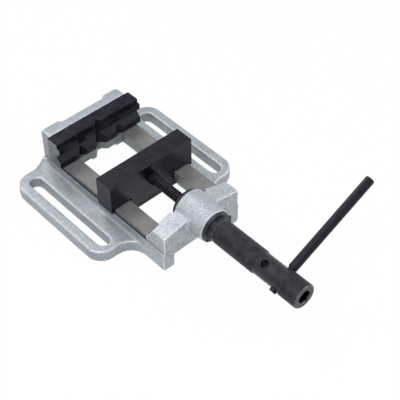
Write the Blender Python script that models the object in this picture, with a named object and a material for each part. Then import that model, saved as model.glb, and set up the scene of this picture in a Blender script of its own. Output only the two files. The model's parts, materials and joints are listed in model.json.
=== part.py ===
"""Drill-press machine vise, built piece by piece in metres with +Z up.

X runs along the jaws, +Y points from the operator to the fixed jaw and +Z is up.
The origin lies on the underside, on the centre line, below the seat of the fixed jaw.
Every solid is a named object with its own material.
"""

import math

import bmesh
import bpy
from mathutils import Matrix, Vector

# Clearances
SEAT_GAP = 0.0003
RUN_GAP = 0.0003

# Rails and jaws
JAW_WIDTH = 0.110
JAW_HEIGHT = 0.0320
JAW_OPENING = 0.0614
RAIL_TOP = 0.0295
RAIL_WIDTH = 0.0198
RAIL_FLANGE = 0.0120
WEB_THICKNESS = 0.0103
SIDE_LEDGE = 0.0010
MACHINED_DEPTH = 0.0052

# Ears with their long bolt slots
EAR_WIDTH = 0.0447
EAR_THICKNESS = 0.0135
EAR_CORNER_RADIUS = 0.018
EAR_LENGTH = 0.1465
EAR_REAR_OVERHANG = 0.0010
EAR_SWEEP_RADIUS = 0.020
EAR_EDGE_ROUND = 0.0014
COVE_RADIUS = 0.0030
SLOT_WIDTH = 0.0140
SLOT_FROM_SIDE = 0.0262
SLOT_FROM_EAR_REAR = 0.0110
SLOT_FROM_EAR_FRONT = 0.0085
SLOT_EDGE_ROUND = 0.0010

# Wall behind the fixed jaw and the floor under it
WALL_THICKNESS = 0.0110
LUG_THICKNESS = 0.0145
LUG_WIDTH = 0.0200
LUG_CORNER_RADIUS = 0.0050
LUG_STEP = 0.0030
WALL_EDGE_ROUND = 0.0010
LEFT_LUG_REACH = 0.0017
REAR_WEB_SETBACK = 0.0035
WEB_RIB_REACH = 0.0045
WEB_RIB_WIDTH = 0.0070
FLOOR_THICKNESS = 0.0090

# Front bridge
SEAT_TO_FRONT = 0.1797
ARM_DEPTH = 0.0172
ARM_FOOT_DEPTH = 0.0267
ARM_BOSS_DEPTH = 0.0215
ARM_END_RISE = 0.0019
ARM_SLOPE = 0.190
ARM_CORNER_ROUND = 0.0015
FOOT_WIDTH = 0.0138
ARCH_HEIGHT = 0.0150
BOSS_FILLET = 0.0070
BRIDGE_CROWN_DROP = 0.0041

# Spindle boss
SPINDLE_ABOVE_RAIL = 0.0135
BOSS_RADIUS = 0.0205
BOSS_FRONT_RADIUS = 0.0186
BOSS_LENGTH = 0.0385
BOSS_OVERHANG = 0.0183
BOSS_EDGE = 0.0010
POCKET_GAP = 0.0010

# Fixed jaw with crossing prism grooves
FIXED_JAW_DEPTH = 0.0195
TOP_STEP_DEPTH = 0.0036
TOP_STEP_HEIGHT = 0.0048
LONG_GROOVE_DEPTH = 0.0062
LONG_GROOVE_DROP = 0.0178
MAIN_GROOVE_DEPTH = 0.0078
SIDE_GROOVE_DEPTH = 0.0050
SIDE_GROOVE_X = 0.0255
JAW_FOOT_STEP = 0.0012

# Movable jaw
MOVABLE_JAW_DEPTH = 0.0226
CHEEK_THICKNESS = 0.0044
CHEEK_DROP = 0.0036
JAW_EDGE = 0.0007
RELIEF_RADIUS = 0.0011

# Keeper plate under the rails
KEEPER_THICKNESS = 0.0072
KEEPER_OVERLAP = 0.0075
KEEPER_DEPTH = 0.0200
KEEPER_SCREW_FROM_RAIL = 0.0105
KEEPER_SCREW_PITCH = 0.0110
KEEPER_SCREW_THREAD = 0.0050
KEEPER_SCREW_LENGTH = 0.0120
KEEPER_HEAD_SINK = 0.0005

# Socket head cap screws, as shares of the thread diameter
CAP_HEAD_RADIUS = 0.8125
CAP_HEX_WIDTH = 0.75
CAP_HEX_DEPTH = 0.55
CAP_EDGE = 0.06

# Screws that hold the fixed jaw
JAW_SCREW_THREAD = 0.0080
JAW_SCREW_LENGTH = 0.0160
JAW_SCREW_FROM_SIDE = 0.0103
JAW_SCREW_DROP = 0.0170
COUNTERBORE_FLOOR = 0.0065
LOCK_WASHER_THICKNESS = 0.0020
LOCK_WASHER_MARGIN = 0.0030

# Lead screw and its lock pin
SCREW_DIAMETER = 0.0120
SCREW_COLLAR_LENGTH = 0.0080
SCREW_COLLAR_STEP = 0.0008
SHANK_DIAMETER = 0.0100
SHANK_LENGTH = 0.0180
PIN_DIAMETER = 0.0034
PIN_FROM_JAW_FRONT = 0.0081
PIN_RECESS = 0.0008
PIN_GROOVE_DEPTH = 0.0010
CLOSED_GAP = 0.0014
CLOSED_ENGAGEMENT = 0.0180

# Nut sleeve that turns in the boss
FLANGE_RADIUS = 0.0185
FLANGE_THICKNESS = 0.0031
WASHER_THICKNESS = 0.0012
JOURNAL_DIAMETER = 0.0276
BODY_START = 0.0100
BODY_LENGTH = 0.0535
BODY_DIAMETER = 0.0264
GRIP_LENGTH = 0.0340
GRIP_DIAMETER = 0.0245
HEAD_LENGTH = 0.0248
HEAD_DIAMETER = 0.0272
SLEEVE_CHAMFER = 0.0012
CROSS_HOLE_DIAMETER = 0.0084
CROSS_HOLE_SINK = 0.0008
FIRST_HOLE_OFFSET = 0.0105
SECOND_HOLE_OFFSET = 0.0300
SOCKET_ACROSS_FLATS = 0.0140
SOCKET_DEPTH = 0.0150

# Front washer and the open retaining ring in its groove
FRONT_WASHER_THICKNESS = 0.0015
FRONT_WASHER_MARGIN = 0.0035
RING_THICKNESS = 0.0015
RING_GROOVE_DEPTH = 0.0010
RING_LAND = 0.0012
RING_WIDTH = 0.0040
RING_EYE_RADIUS = 0.0026
RING_EYE_HOLE = 0.0011
RING_START_DEGREES = -12.0
RING_SWEEP_DEGREES = 226.0

# Lever that plugs into a cross hole
LEVER_DIAMETER = 0.0100
LEVER_REACH = 0.1288
LEVER_TURN_DEGREES = 25.5
LEVER_STUB = 0.0030
LEVER_TIP_CHAMFER = 0.0010

# Facets of round pieces
COARSE = 12
MEDIUM = 20
FINE = 32
ARC_STEPS = 6

# Widths and heights that follow from the sizes above
RAIL_HALF_SPAN = 0.5 * JAW_WIDTH - CHEEK_THICKNESS - RUN_GAP
RAIL_INNER = RAIL_HALF_SPAN - RAIL_WIDTH
WEB_INNER = RAIL_HALF_SPAN - WEB_THICKNESS
FLANGE_UNDERSIDE = RAIL_TOP - RAIL_FLANGE
LEDGE_Z = RAIL_TOP - MACHINED_DEPTH
SIDE_HALF_SPAN = RAIL_HALF_SPAN + SIDE_LEDGE
EAR_HALF_SPAN = SIDE_HALF_SPAN + EAR_WIDTH
SLOT_CENTRE_X = SIDE_HALF_SPAN + SLOT_FROM_SIDE
JAW_SCREW_X = RAIL_HALF_SPAN - JAW_SCREW_FROM_SIDE
KEEPER_SCREW_X = RAIL_INNER - KEEPER_SCREW_FROM_RAIL
JAW_BOTTOM = RAIL_TOP + SEAT_GAP
JAW_TOP = JAW_BOTTOM + JAW_HEIGHT
SPINDLE_Z = RAIL_TOP + SPINDLE_ABOVE_RAIL

# Stations along the vise that follow from the sizes above
EAR_REAR = LUG_THICKNESS + EAR_REAR_OVERHANG
EAR_FRONT = EAR_REAR - EAR_LENGTH
BRIDGE_FRONT = -SEAT_TO_FRONT
BRIDGE_REAR = BRIDGE_FRONT + ARM_FOOT_DEPTH
BOSS_FRONT = BRIDGE_FRONT - BOSS_OVERHANG
BOSS_REAR = BOSS_FRONT + BOSS_LENGTH
FIXED_FACE = -SEAT_GAP - FIXED_JAW_DEPTH
MOVABLE_FACE = FIXED_FACE - JAW_OPENING
MOVABLE_FRONT = MOVABLE_FACE - MOVABLE_JAW_DEPTH
MOVABLE_MIDDLE = 0.5 * (MOVABLE_FACE + MOVABLE_FRONT)
THRUST_WASHER_FRONT = BOSS_REAR + SEAT_GAP
FLANGE_FRONT = THRUST_WASHER_FRONT + WASHER_THICKNESS + SEAT_GAP
FLANGE_REAR = FLANGE_FRONT + FLANGE_THICKNESS
WASHER_REAR = BOSS_FRONT - SEAT_GAP
WASHER_FRONT = WASHER_REAR - FRONT_WASHER_THICKNESS
RING_REAR = WASHER_FRONT - SEAT_GAP
RING_FRONT = RING_REAR - RING_THICKNESS
BODY_REAR = BOSS_FRONT - BODY_START
GRIP_REAR = BODY_REAR - BODY_LENGTH
HEAD_REAR = GRIP_REAR - GRIP_LENGTH
HEAD_FRONT = HEAD_REAR - HEAD_LENGTH
FIRST_HOLE = GRIP_REAR - FIRST_HOLE_OFFSET
LEVER_STATION = GRIP_REAR - SECOND_HOLE_OFFSET
SCREW_FRONT = FLANGE_REAR - (JAW_OPENING - CLOSED_GAP) - CLOSED_ENGAGEMENT

CAST_PAINT = ("cast_paint", (0.56, 0.58, 0.60), 0.55, 0.35)
BLACK_STEEL = ("black_steel", (0.035, 0.036, 0.040), 0.45, 0.75)
DARK_STEEL = ("dark_steel", (0.055, 0.057, 0.062), 0.50, 0.75)
BRIGHT_STEEL = ("bright_steel", (0.50, 0.50, 0.50), 0.35, 1.00)


def clear_scene():
    """Remove whatever the open file holds."""
    for item in list(bpy.data.objects):
        bpy.data.objects.remove(item, do_unlink=True)


def paint(obj, finish):
    """Give an object its own material from a named finish."""
    kind, colour, roughness, metallic = finish
    material = bpy.data.materials.new(f"{obj.name}_{kind}")
    material.use_nodes = True
    shader = material.node_tree.nodes["Principled BSDF"]
    shader.inputs["Base Color"].default_value = (*colour, 1.0)
    shader.inputs["Roughness"].default_value = roughness
    shader.inputs["Metallic"].default_value = metallic
    obj.data.materials.clear()
    obj.data.materials.append(material)


def to_object(name, bm):
    """Turn a bmesh into a linked object with its faces pointing out."""
    bmesh.ops.recalc_face_normals(bm, faces=bm.faces)
    mesh = bpy.data.meshes.new(name)
    bm.to_mesh(mesh)
    bm.free()
    obj = bpy.data.objects.new(name, mesh)
    bpy.context.scene.collection.objects.link(obj)
    return obj


def finish_piece(obj, finish, smooth_degrees=32.0):
    """Shade a finished piece and paint it."""
    obj.data.shade_smooth()
    obj.data.set_sharp_from_angle(angle=math.radians(smooth_degrees))
    paint(obj, finish)
    return obj


def arc(centre, radius, start, stop, steps=ARC_STEPS):
    """Points of an arc, with its angles in degrees."""
    points = []
    for index in range(steps + 1):
        angle = math.radians(start + (stop - start) * index / steps)
        points.append((centre[0] + radius * math.cos(angle), centre[1] + radius * math.sin(angle)))
    return points


def mirrored(half):
    """Close an outline whose first and last points lie on the centre line."""
    return half + [(-x, second) for x, second in reversed(half[1:-1])]


def prism(name, outline, axis, start, stop):
    """Extrude an outline along X, Y or Z; the outline lies in the other two axes."""
    place = {
        "X": lambda a, b: Vector((start, a, b)),
        "Y": lambda a, b: Vector((a, start, b)),
        "Z": lambda a, b: Vector((a, b, start)),
    }[axis]
    shift = {"X": Vector((1, 0, 0)), "Y": Vector((0, 1, 0)), "Z": Vector((0, 0, 1))}[axis]
    bm = bmesh.new()
    face = bm.faces.new([bm.verts.new(place(a, b)) for a, b in outline])
    grown = bmesh.ops.extrude_face_region(bm, geom=[face])
    moved = [item for item in grown["geom"] if isinstance(item, bmesh.types.BMVert)]
    bmesh.ops.translate(bm, verts=moved, vec=shift * (stop - start))
    return to_object(name, bm)


def box(name, low, high):
    """A plain block between two corners."""
    outline = [(low[0], low[1]), (high[0], low[1]), (high[0], high[1]), (low[0], high[1])]
    return prism(name, outline, "Z", low[2], high[2])


def turned(name, profile, facets=FINE, ring=False):
    """Spin a profile of (radius, station) points about the local Y axis."""
    bm = bmesh.new()
    verts = [bm.verts.new((radius, station, 0.0)) for radius, station in profile]
    edges = [bm.edges.new(pair) for pair in zip(verts, verts[1:])]
    if ring:
        edges.append(bm.edges.new((verts[-1], verts[0])))
    bmesh.ops.spin(
        bm, geom=verts + edges, cent=(0, 0, 0), axis=(0, 1, 0), angle=2.0 * math.pi, steps=facets
    )
    bmesh.ops.remove_doubles(bm, verts=bm.verts, dist=1e-6)
    return to_object(name, bm)


def rod(name, radius, rear, front, facets=FINE):
    """A plain cylinder along the local Y axis."""
    return turned(name, [(0.0, rear), (radius, rear), (radius, front), (0.0, front)], facets)


def place(obj, matrix):
    """Move an object's mesh by a matrix."""
    obj.data.transform(matrix)
    return obj


def stepped_hole(name, radii, stations, facets=MEDIUM):
    """Cutter for a screw's hole and its counterbore along local Y: wide from the mouth to the seat."""
    narrow, wide = radii
    end, seat, mouth = stations
    profile = [(0.0, mouth), (wide, mouth), (wide, seat), (narrow, seat), (narrow, end), (0.0, end)]
    return turned(name, profile, facets)


def along_z(obj, location):
    """Stand a piece that was turned about Y on the Z axis; +Y becomes +Z."""
    return place(obj, Matrix.Translation(location) @ Matrix.Rotation(math.radians(90), 4, "X"))


def boolean(target, tool, operation):
    """Join or cut the target with a tool, then drop the tool."""
    modifier = target.modifiers.new("Shape", "BOOLEAN")
    modifier.operation = operation
    modifier.solver = "EXACT"
    modifier.object = tool
    bpy.context.view_layer.update()
    evaluated = target.evaluated_get(bpy.context.evaluated_depsgraph_get())
    result = bpy.data.meshes.new_from_object(evaluated)
    target.modifiers.remove(modifier)
    target.data = result
    bpy.data.objects.remove(tool, do_unlink=True)
    return target


def join(target, tool):
    """Add the tool's shape to the target."""
    return boolean(target, tool, "UNION")


def cut(target, tool):
    """Take the tool's shape out of the target."""
    return boolean(target, tool, "DIFFERENCE")


def round_edges(obj, width, chosen, segments=2):
    """Bevel the edges of an object that a test picks."""
    bm = bmesh.new()
    bm.from_mesh(obj.data)
    edges = [edge for edge in bm.edges if chosen(edge)]
    bmesh.ops.bevel(
        bm, geom=edges, offset=width, segments=segments, profile=0.5, affect="EDGES", clamp_overlap=True
    )
    bm.to_mesh(obj.data)
    bm.free()
    return obj


def on_level(edge, level):
    """Say whether an edge lies flat at a height."""
    return all(abs(vert.co.z - level) < 1e-6 for vert in edge.verts)


def hexagon(across_flats):
    """Outline of a hexagon with flats above and below."""
    radius = across_flats / math.sqrt(3.0)
    return arc((0.0, 0.0), radius, 0.0, 300.0, 5)


# Base casting


def ear_outline():
    """Plan of the foot: ears with round corners that sweep into the front feet."""
    half_span = EAR_HALF_SPAN
    corner = EAR_CORNER_RADIUS
    sweep_y = EAR_FRONT - EAR_SWEEP_RADIUS
    sweep_x = SIDE_HALF_SPAN + EAR_SWEEP_RADIUS
    half = [(0.0, EAR_REAR)]
    half += arc((half_span - corner, EAR_REAR - corner), corner, 90.0, 0.0)
    half += arc((half_span - corner, EAR_FRONT + corner), corner, 0.0, -90.0)
    half += arc((sweep_x, sweep_y), EAR_SWEEP_RADIUS, 90.0, 180.0)
    half += [(SIDE_HALF_SPAN, BRIDGE_FRONT), (0.0, BRIDGE_FRONT)]
    return mirrored(half)


def foot_plate():
    """Flat foot of the casting with rounded top edges."""
    plate = prism("base_casting", ear_outline(), "Z", 0.0, EAR_THICKNESS)
    limit = EAR_FRONT - EAR_SWEEP_RADIUS
    return round_edges(
        plate, EAR_EDGE_ROUND, lambda edge: on_level(edge, EAR_THICKNESS) and edge.verts[0].co.y > limit
    )


def rail_block():
    """Cross-section of the rails and their cast sides, run along the vise."""
    cove = arc((SIDE_HALF_SPAN + COVE_RADIUS, EAR_THICKNESS + COVE_RADIUS), COVE_RADIUS, 180.0, 270.0, 3)
    half = [(0.0, RAIL_TOP), (RAIL_HALF_SPAN, RAIL_TOP), (RAIL_HALF_SPAN, LEDGE_Z)]
    half += [(SIDE_HALF_SPAN, LEDGE_Z)] + cove
    half += [(SIDE_HALF_SPAN + COVE_RADIUS, 0.5 * EAR_THICKNESS), (0.0, 0.5 * EAR_THICKNESS)]
    front = EAR_FRONT - 0.5 * EAR_SWEEP_RADIUS
    return prism("rails", mirrored(half), "Y", front, EAR_REAR)


def front_sides():
    """Plain sides of the casting between the ears and the front face."""
    half = [(0.0, RAIL_TOP), (RAIL_HALF_SPAN, RAIL_TOP), (RAIL_HALF_SPAN, LEDGE_Z)]
    half += [(SIDE_HALF_SPAN, LEDGE_Z), (SIDE_HALF_SPAN, 0.5 * EAR_THICKNESS), (0.0, 0.5 * EAR_THICKNESS)]
    return prism("front_sides", mirrored(half), "Y", BRIDGE_FRONT, EAR_FRONT)


def wall():
    """Upright wall behind the fixed jaw, thicker at its lugs; the right lug alone has a round corner."""
    inner = RAIL_HALF_SPAN - LUG_WIDTH
    corner = LUG_CORNER_RADIUS
    left = RAIL_HALF_SPAN + LEFT_LUG_REACH
    outline = [(-inner, LUG_THICKNESS), (LUG_STEP - inner, WALL_THICKNESS)]
    outline += [(inner - LUG_STEP, WALL_THICKNESS), (inner, LUG_THICKNESS)]
    outline += arc((RAIL_HALF_SPAN - corner, LUG_THICKNESS - corner), corner, 90.0, 0.0, 4)
    outline += [(RAIL_HALF_SPAN, 0.0), (-left, 0.0), (-left, LUG_THICKNESS)]
    upright = prism("wall", outline, "Z", 0.5 * EAR_THICKNESS, JAW_TOP)

    def behind_the_jaw(edge):
        """Say whether an edge of the top face lies clear of the jaw's seat."""
        return on_level(edge, JAW_TOP) and max(vert.co.y for vert in edge.verts) > LUG_CORNER_RADIUS

    return round_edges(upright, WALL_EDGE_ROUND, behind_the_jaw)


def arm_top(x):
    """Height of the sloping arm at a distance from the centre line."""
    return SPINDLE_Z + ARM_END_RISE + ARM_SLOPE * (RAIL_HALF_SPAN - abs(x))


def boss_radius_at(y):
    """Radius of the boss at a station; it narrows towards its front."""
    share = (BOSS_REAR - y) / (BOSS_REAR - BOSS_FRONT)
    return BOSS_RADIUS + (BOSS_FRONT_RADIUS - BOSS_RADIUS) * share


def boss_fillet_centre():
    """Centre of the fillet between the sloping arm and the round boss."""
    length = math.hypot(1.0, ARM_SLOPE)
    normal = Vector((ARM_SLOPE, 1.0)) / length
    along = Vector((-1.0, ARM_SLOPE)) / length
    base = Vector((RAIL_HALF_SPAN, SPINDLE_Z + ARM_END_RISE)) + normal * BOSS_FILLET
    offset = base - Vector((0.0, SPINDLE_Z))
    reach = boss_radius_at(BRIDGE_FRONT) + BOSS_FILLET
    half_b = offset.dot(along)
    travel = -half_b - math.sqrt(half_b * half_b - offset.dot(offset) + reach * reach)
    return base + along * travel, normal


def bridge():
    """Front bridge: arms that rise from the rails to the spindle boss."""
    centre, normal = boss_fillet_centre()
    boss_direction = (Vector((0.0, SPINDLE_Z)) - centre).normalized()
    start = math.degrees(math.atan2(-normal.y, -normal.x))
    stop = math.degrees(math.atan2(boss_direction.y, boss_direction.x))
    if stop > start:
        stop -= 360.0
    corner_x = RAIL_HALF_SPAN - ARM_CORNER_ROUND
    corner_z = arm_top(corner_x) - ARM_CORNER_ROUND * math.hypot(1.0, ARM_SLOPE)
    corner_stop = 90.0 - math.degrees(math.atan(ARM_SLOPE))
    half = [(0.0, LEDGE_Z), (RAIL_HALF_SPAN, LEDGE_Z), (RAIL_HALF_SPAN, RAIL_TOP)]
    half += arc((corner_x, corner_z), ARM_CORNER_ROUND, 0.0, corner_stop, 3)
    half += arc((centre.x, centre.y), BOSS_FILLET, start, stop, ARC_STEPS)
    half += [(0.0, SPINDLE_Z + BOSS_RADIUS - BRIDGE_CROWN_DROP)]
    arms = prism("bridge", mirrored(half), "Y", BRIDGE_FRONT, BRIDGE_REAR)
    lean_rear_face(arms)
    return arms


def lean_rear_face(arms):
    """Slope the rear of the arms: deepest at the rails, shallower towards their tops."""
    end_top = arm_top(RAIL_HALF_SPAN)
    bm = bmesh.new()
    bm.from_mesh(arms.data)
    rear = [face for face in bm.faces if min(vert.co.y for vert in face.verts) > BRIDGE_REAR - 1e-6]
    bmesh.ops.triangulate(bm, faces=rear)
    for vert in bm.verts:
        if vert.co.y < BRIDGE_REAR - 1e-6 or vert.co.z <= RAIL_TOP:
            continue
        share = min(1.0, max(0.0, (abs(vert.co.x) - BOSS_RADIUS) / (RAIL_HALF_SPAN - BOSS_RADIUS)))
        depth_at_top = ARM_BOSS_DEPTH + (ARM_DEPTH - ARM_BOSS_DEPTH) * share
        rise = min(1.0, (vert.co.z - RAIL_TOP) / (end_top - RAIL_TOP))
        vert.co.y = BRIDGE_FRONT + ARM_FOOT_DEPTH + (depth_at_top - ARM_FOOT_DEPTH) * rise
    bm.to_mesh(arms.data)
    bm.free()


def boss():
    """Round boss that carries the nut sleeve."""
    profile = [
        (0.0, BOSS_REAR),
        (BOSS_RADIUS - BOSS_EDGE, BOSS_REAR),
        (BOSS_RADIUS, BOSS_REAR - BOSS_EDGE),
        (BOSS_FRONT_RADIUS, BOSS_FRONT + BOSS_EDGE),
        (BOSS_FRONT_RADIUS - BOSS_EDGE, BOSS_FRONT),
        (0.0, BOSS_FRONT),
    ]
    return place(turned("boss", profile, FINE + 8), Matrix.Translation((0, 0, SPINDLE_Z)))


def rail_gap_cutter():
    """Opening between the rails, with the notch that continues the main prism groove."""
    notch = MAIN_GROOVE_DEPTH
    half = [
        (0.0, FIXED_FACE + notch),
        (notch, FIXED_FACE),
        (RAIL_INNER, FIXED_FACE),
        (RAIL_INNER, BRIDGE_REAR),
        (0.0, BRIDGE_REAR),
    ]
    return prism("rail_gap", mirrored(half), "Z", -SEAT_GAP, JAW_BOTTOM + SEAT_GAP)


def slot_cutter(side):
    """Long bolt slot with a rounded upper edge."""
    radius = 0.5 * SLOT_WIDTH
    rear = EAR_REAR - SLOT_FROM_EAR_REAR - radius
    front = EAR_FRONT + SLOT_FROM_EAR_FRONT + radius
    x = side * SLOT_CENTRE_X
    outline = arc((x, rear), radius, 0.0, 180.0) + arc((x, front), radius, 180.0, 360.0)
    tool = prism("slot", outline, "Z", -SEAT_GAP, EAR_THICKNESS + SLOT_EDGE_ROUND)
    for vert in tool.data.vertices:
        if vert.co.z > EAR_THICKNESS:
            away = Vector((vert.co.x - x, vert.co.y - min(rear, max(front, vert.co.y)), 0.0))
            vert.co += away.normalized() * 2.0 * SLOT_EDGE_ROUND
    level = EAR_THICKNESS - SLOT_EDGE_ROUND
    bm = bmesh.new()
    bm.from_mesh(tool.data)
    lower = [vert for vert in bm.verts if vert.co.z < 0.0]
    bmesh.ops.translate(bm, verts=lower, vec=(0, 0, level + SEAT_GAP))
    floor = next(face for face in bm.faces if all(abs(v.co.z - level) < 1e-6 for v in face.verts))
    grown = bmesh.ops.extrude_face_region(bm, geom=[floor])
    deep = [item for item in grown["geom"] if isinstance(item, bmesh.types.BMVert)]
    bmesh.ops.translate(bm, verts=deep, vec=(0, 0, -level - SEAT_GAP))
    bmesh.ops.delete(bm, geom=[floor], context="FACES")
    bmesh.ops.recalc_face_normals(bm, faces=bm.faces)
    bm.to_mesh(tool.data)
    bm.free()
    return tool


def jaw_screw_z():
    """Height of the screws that hold the fixed jaw."""
    return JAW_TOP - JAW_SCREW_DROP


def base_casting():
    """Cast base with ears, rails, wall, bridge and boss in one piece."""
    body = foot_plate()
    for piece in (rail_block(), front_sides(), wall(), bridge(), boss()):
        join(body, piece)
    low = -SEAT_GAP
    cut(body, rail_gap_cutter())
    web_front = -WEB_RIB_REACH
    cut(body, box("channel", (-WEB_INNER, BRIDGE_REAR, low), (WEB_INNER, web_front, FLANGE_UNDERSIDE)))
    floor_low = RAIL_TOP - FLOOR_THICKNESS
    cut(body, box("floor_relief", (-RAIL_INNER, BRIDGE_REAR, low), (RAIL_INNER, web_front, floor_low)))
    rib = 0.5 * WEB_RIB_WIDTH
    for edges in ((-RAIL_INNER, -rib), (rib, RAIL_INNER)):
        front = web_front - SEAT_GAP
        cut(body, box("web_relief", (edges[0], front, low), (edges[1], REAR_WEB_SETBACK, floor_low)))
    arch = SIDE_HALF_SPAN - FOOT_WIDTH
    arch_rear = BRIDGE_REAR + SEAT_GAP
    cut(body, box("arch", (-arch, BRIDGE_FRONT - SEAT_GAP, low), (arch, arch_rear, ARCH_HEIGHT)))
    for side in (-1, 1):
        cut(body, slot_cutter(side))
    spindle = Matrix.Translation((0, 0, SPINDLE_Z))
    bore = 0.5 * JOURNAL_DIAMETER + RUN_GAP
    cut(body, place(rod("bore", bore, BRIDGE_REAR + BOSS_RADIUS, BOSS_FRONT - SEAT_GAP, FINE + 4), spindle))
    pocket = BOSS_RADIUS + POCKET_GAP
    cut(body, place(rod("pocket", pocket, BRIDGE_REAR + BOSS_RADIUS, BOSS_REAR, FINE + 8), spindle))
    radii = (0.5 * JAW_SCREW_THREAD + RUN_GAP, CAP_HEAD_RADIUS * JAW_SCREW_THREAD + 2.0 * RUN_GAP)
    stations = (-SEAT_GAP, COUNTERBORE_FLOOR, LUG_THICKNESS + SEAT_GAP)
    for side in (-1, 1):
        axis = Matrix.Translation((side * JAW_SCREW_X, 0, jaw_screw_z()))
        cut(body, place(stepped_hole("screw_hole", radii, stations), axis))
    return finish_piece(body, CAST_PAINT)


# Fixed jaw


def fixed_jaw():
    """Hardened jaw with one long prism groove crossed by three upright ones."""
    seat = -SEAT_GAP
    step_z = JAW_TOP - TOP_STEP_HEIGHT
    groove_z = JAW_TOP - LONG_GROOVE_DROP
    depth = LONG_GROOVE_DEPTH
    profile = [
        (seat, JAW_BOTTOM),
        (FIXED_FACE + JAW_FOOT_STEP, JAW_BOTTOM),
        (FIXED_FACE, JAW_BOTTOM + JAW_FOOT_STEP),
        (FIXED_FACE, groove_z - depth),
        (FIXED_FACE + depth, groove_z),
        (FIXED_FACE, groove_z + depth),
        (FIXED_FACE, step_z),
        (FIXED_FACE + TOP_STEP_DEPTH, step_z),
        (FIXED_FACE + TOP_STEP_DEPTH, JAW_TOP),
        (seat, JAW_TOP),
    ]
    jaw = prism("fixed_jaw", profile, "X", -0.5 * JAW_WIDTH, 0.5 * JAW_WIDTH)
    side_grooves = [(side * SIDE_GROOVE_X, SIDE_GROOVE_DEPTH) for side in (-1, 1)]
    for x, groove_depth in [(0.0, MAIN_GROOVE_DEPTH)] + side_grooves:
        mouth = groove_depth + JAW_FOOT_STEP
        outline = [
            (x, FIXED_FACE + groove_depth),
            (x + mouth, FIXED_FACE - JAW_FOOT_STEP),
            (x - mouth, FIXED_FACE - JAW_FOOT_STEP),
        ]
        cut(jaw, prism("groove", outline, "Z", JAW_BOTTOM - SEAT_GAP, JAW_TOP + SEAT_GAP))
    for side in (-1, 1):
        axis = Matrix.Translation((side * JAW_SCREW_X, 0, jaw_screw_z()))
        radius = 0.5 * JAW_SCREW_THREAD + RUN_GAP
        end = jaw_screw_tip() - RUN_GAP
        cut(jaw, place(rod("tapped_hole", radius, SEAT_GAP, end, MEDIUM), axis))
    return finish_piece(jaw, BLACK_STEEL)


def jaw_screw_under_head():
    """Station under the head of a fixed-jaw screw, on top of its lock washer."""
    return COUNTERBORE_FLOOR + SEAT_GAP + LOCK_WASHER_THICKNESS + SEAT_GAP


def jaw_screw_tip():
    """Station of the screw's tip inside the fixed jaw."""
    return jaw_screw_under_head() - JAW_SCREW_LENGTH


def cap_screw(name, thread, length, facets=MEDIUM):
    """Socket head cap screw along local Y, with its under-head face at zero."""
    head_radius = CAP_HEAD_RADIUS * thread
    socket_floor = thread - CAP_HEX_DEPTH * thread
    edge = CAP_EDGE * thread
    profile = [
        (0.0, thread),
        (head_radius - edge, thread),
        (head_radius, thread - edge),
        (head_radius, 0.0),
        (0.5 * thread, 0.0),
        (0.5 * thread, edge - length),
        (0.5 * thread - edge, -length),
        (0.0, -length),
    ]
    screw = turned(name, profile, facets)
    socket = prism("socket", hexagon(CAP_HEX_WIDTH * thread), "Y", socket_floor, thread + SEAT_GAP)
    return cut(screw, socket)


def fixed_jaw_fasteners():
    """Two cap screws and their lock washers, put in from the back of the wall."""
    washer_radius = 0.5 * JAW_SCREW_THREAD + LOCK_WASHER_MARGIN - 2.0 * RUN_GAP
    hole = 0.5 * JAW_SCREW_THREAD + RUN_GAP
    for side, label in ((-1, "left"), (1, "right")):
        origin = Vector((side * JAW_SCREW_X, 0.0, jaw_screw_z()))
        screw = cap_screw(f"fixed_jaw_screw_{label}", JAW_SCREW_THREAD, JAW_SCREW_LENGTH)
        screw.location = origin + Vector((0, jaw_screw_under_head(), 0))
        finish_piece(screw, BLACK_STEEL)
        low = 0.0
        high = LOCK_WASHER_THICKNESS
        profile = [(hole, low), (washer_radius, low), (washer_radius, high), (hole, high)]
        washer = turned(f"fixed_jaw_washer_{label}", profile, MEDIUM, ring=True)
        washer.location = origin + Vector((0, COUNTERBORE_FLOOR + SEAT_GAP, 0))
        finish_piece(washer, BRIGHT_STEEL)


# Movable jaw and keeper


def movable_jaw_outline():
    """Cross-section of the movable jaw: block, cheeks over the rails, tongue between them."""
    half_width = 0.5 * JAW_WIDTH
    cheek_inner = RAIL_HALF_SPAN + RUN_GAP
    tongue = RAIL_INNER - RUN_GAP
    relief = arc((tongue, JAW_BOTTOM), RELIEF_RADIUS, 0.0, 270.0, ARC_STEPS)
    half = [
        (0.0, JAW_TOP),
        (half_width, JAW_TOP),
        (half_width, RAIL_TOP - CHEEK_DROP),
        (cheek_inner, RAIL_TOP - CHEEK_DROP),
        (cheek_inner, JAW_BOTTOM),
    ]
    half += relief
    half += [(tongue, FLANGE_UNDERSIDE), (0.0, FLANGE_UNDERSIDE)]
    return mirrored(half)


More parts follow.
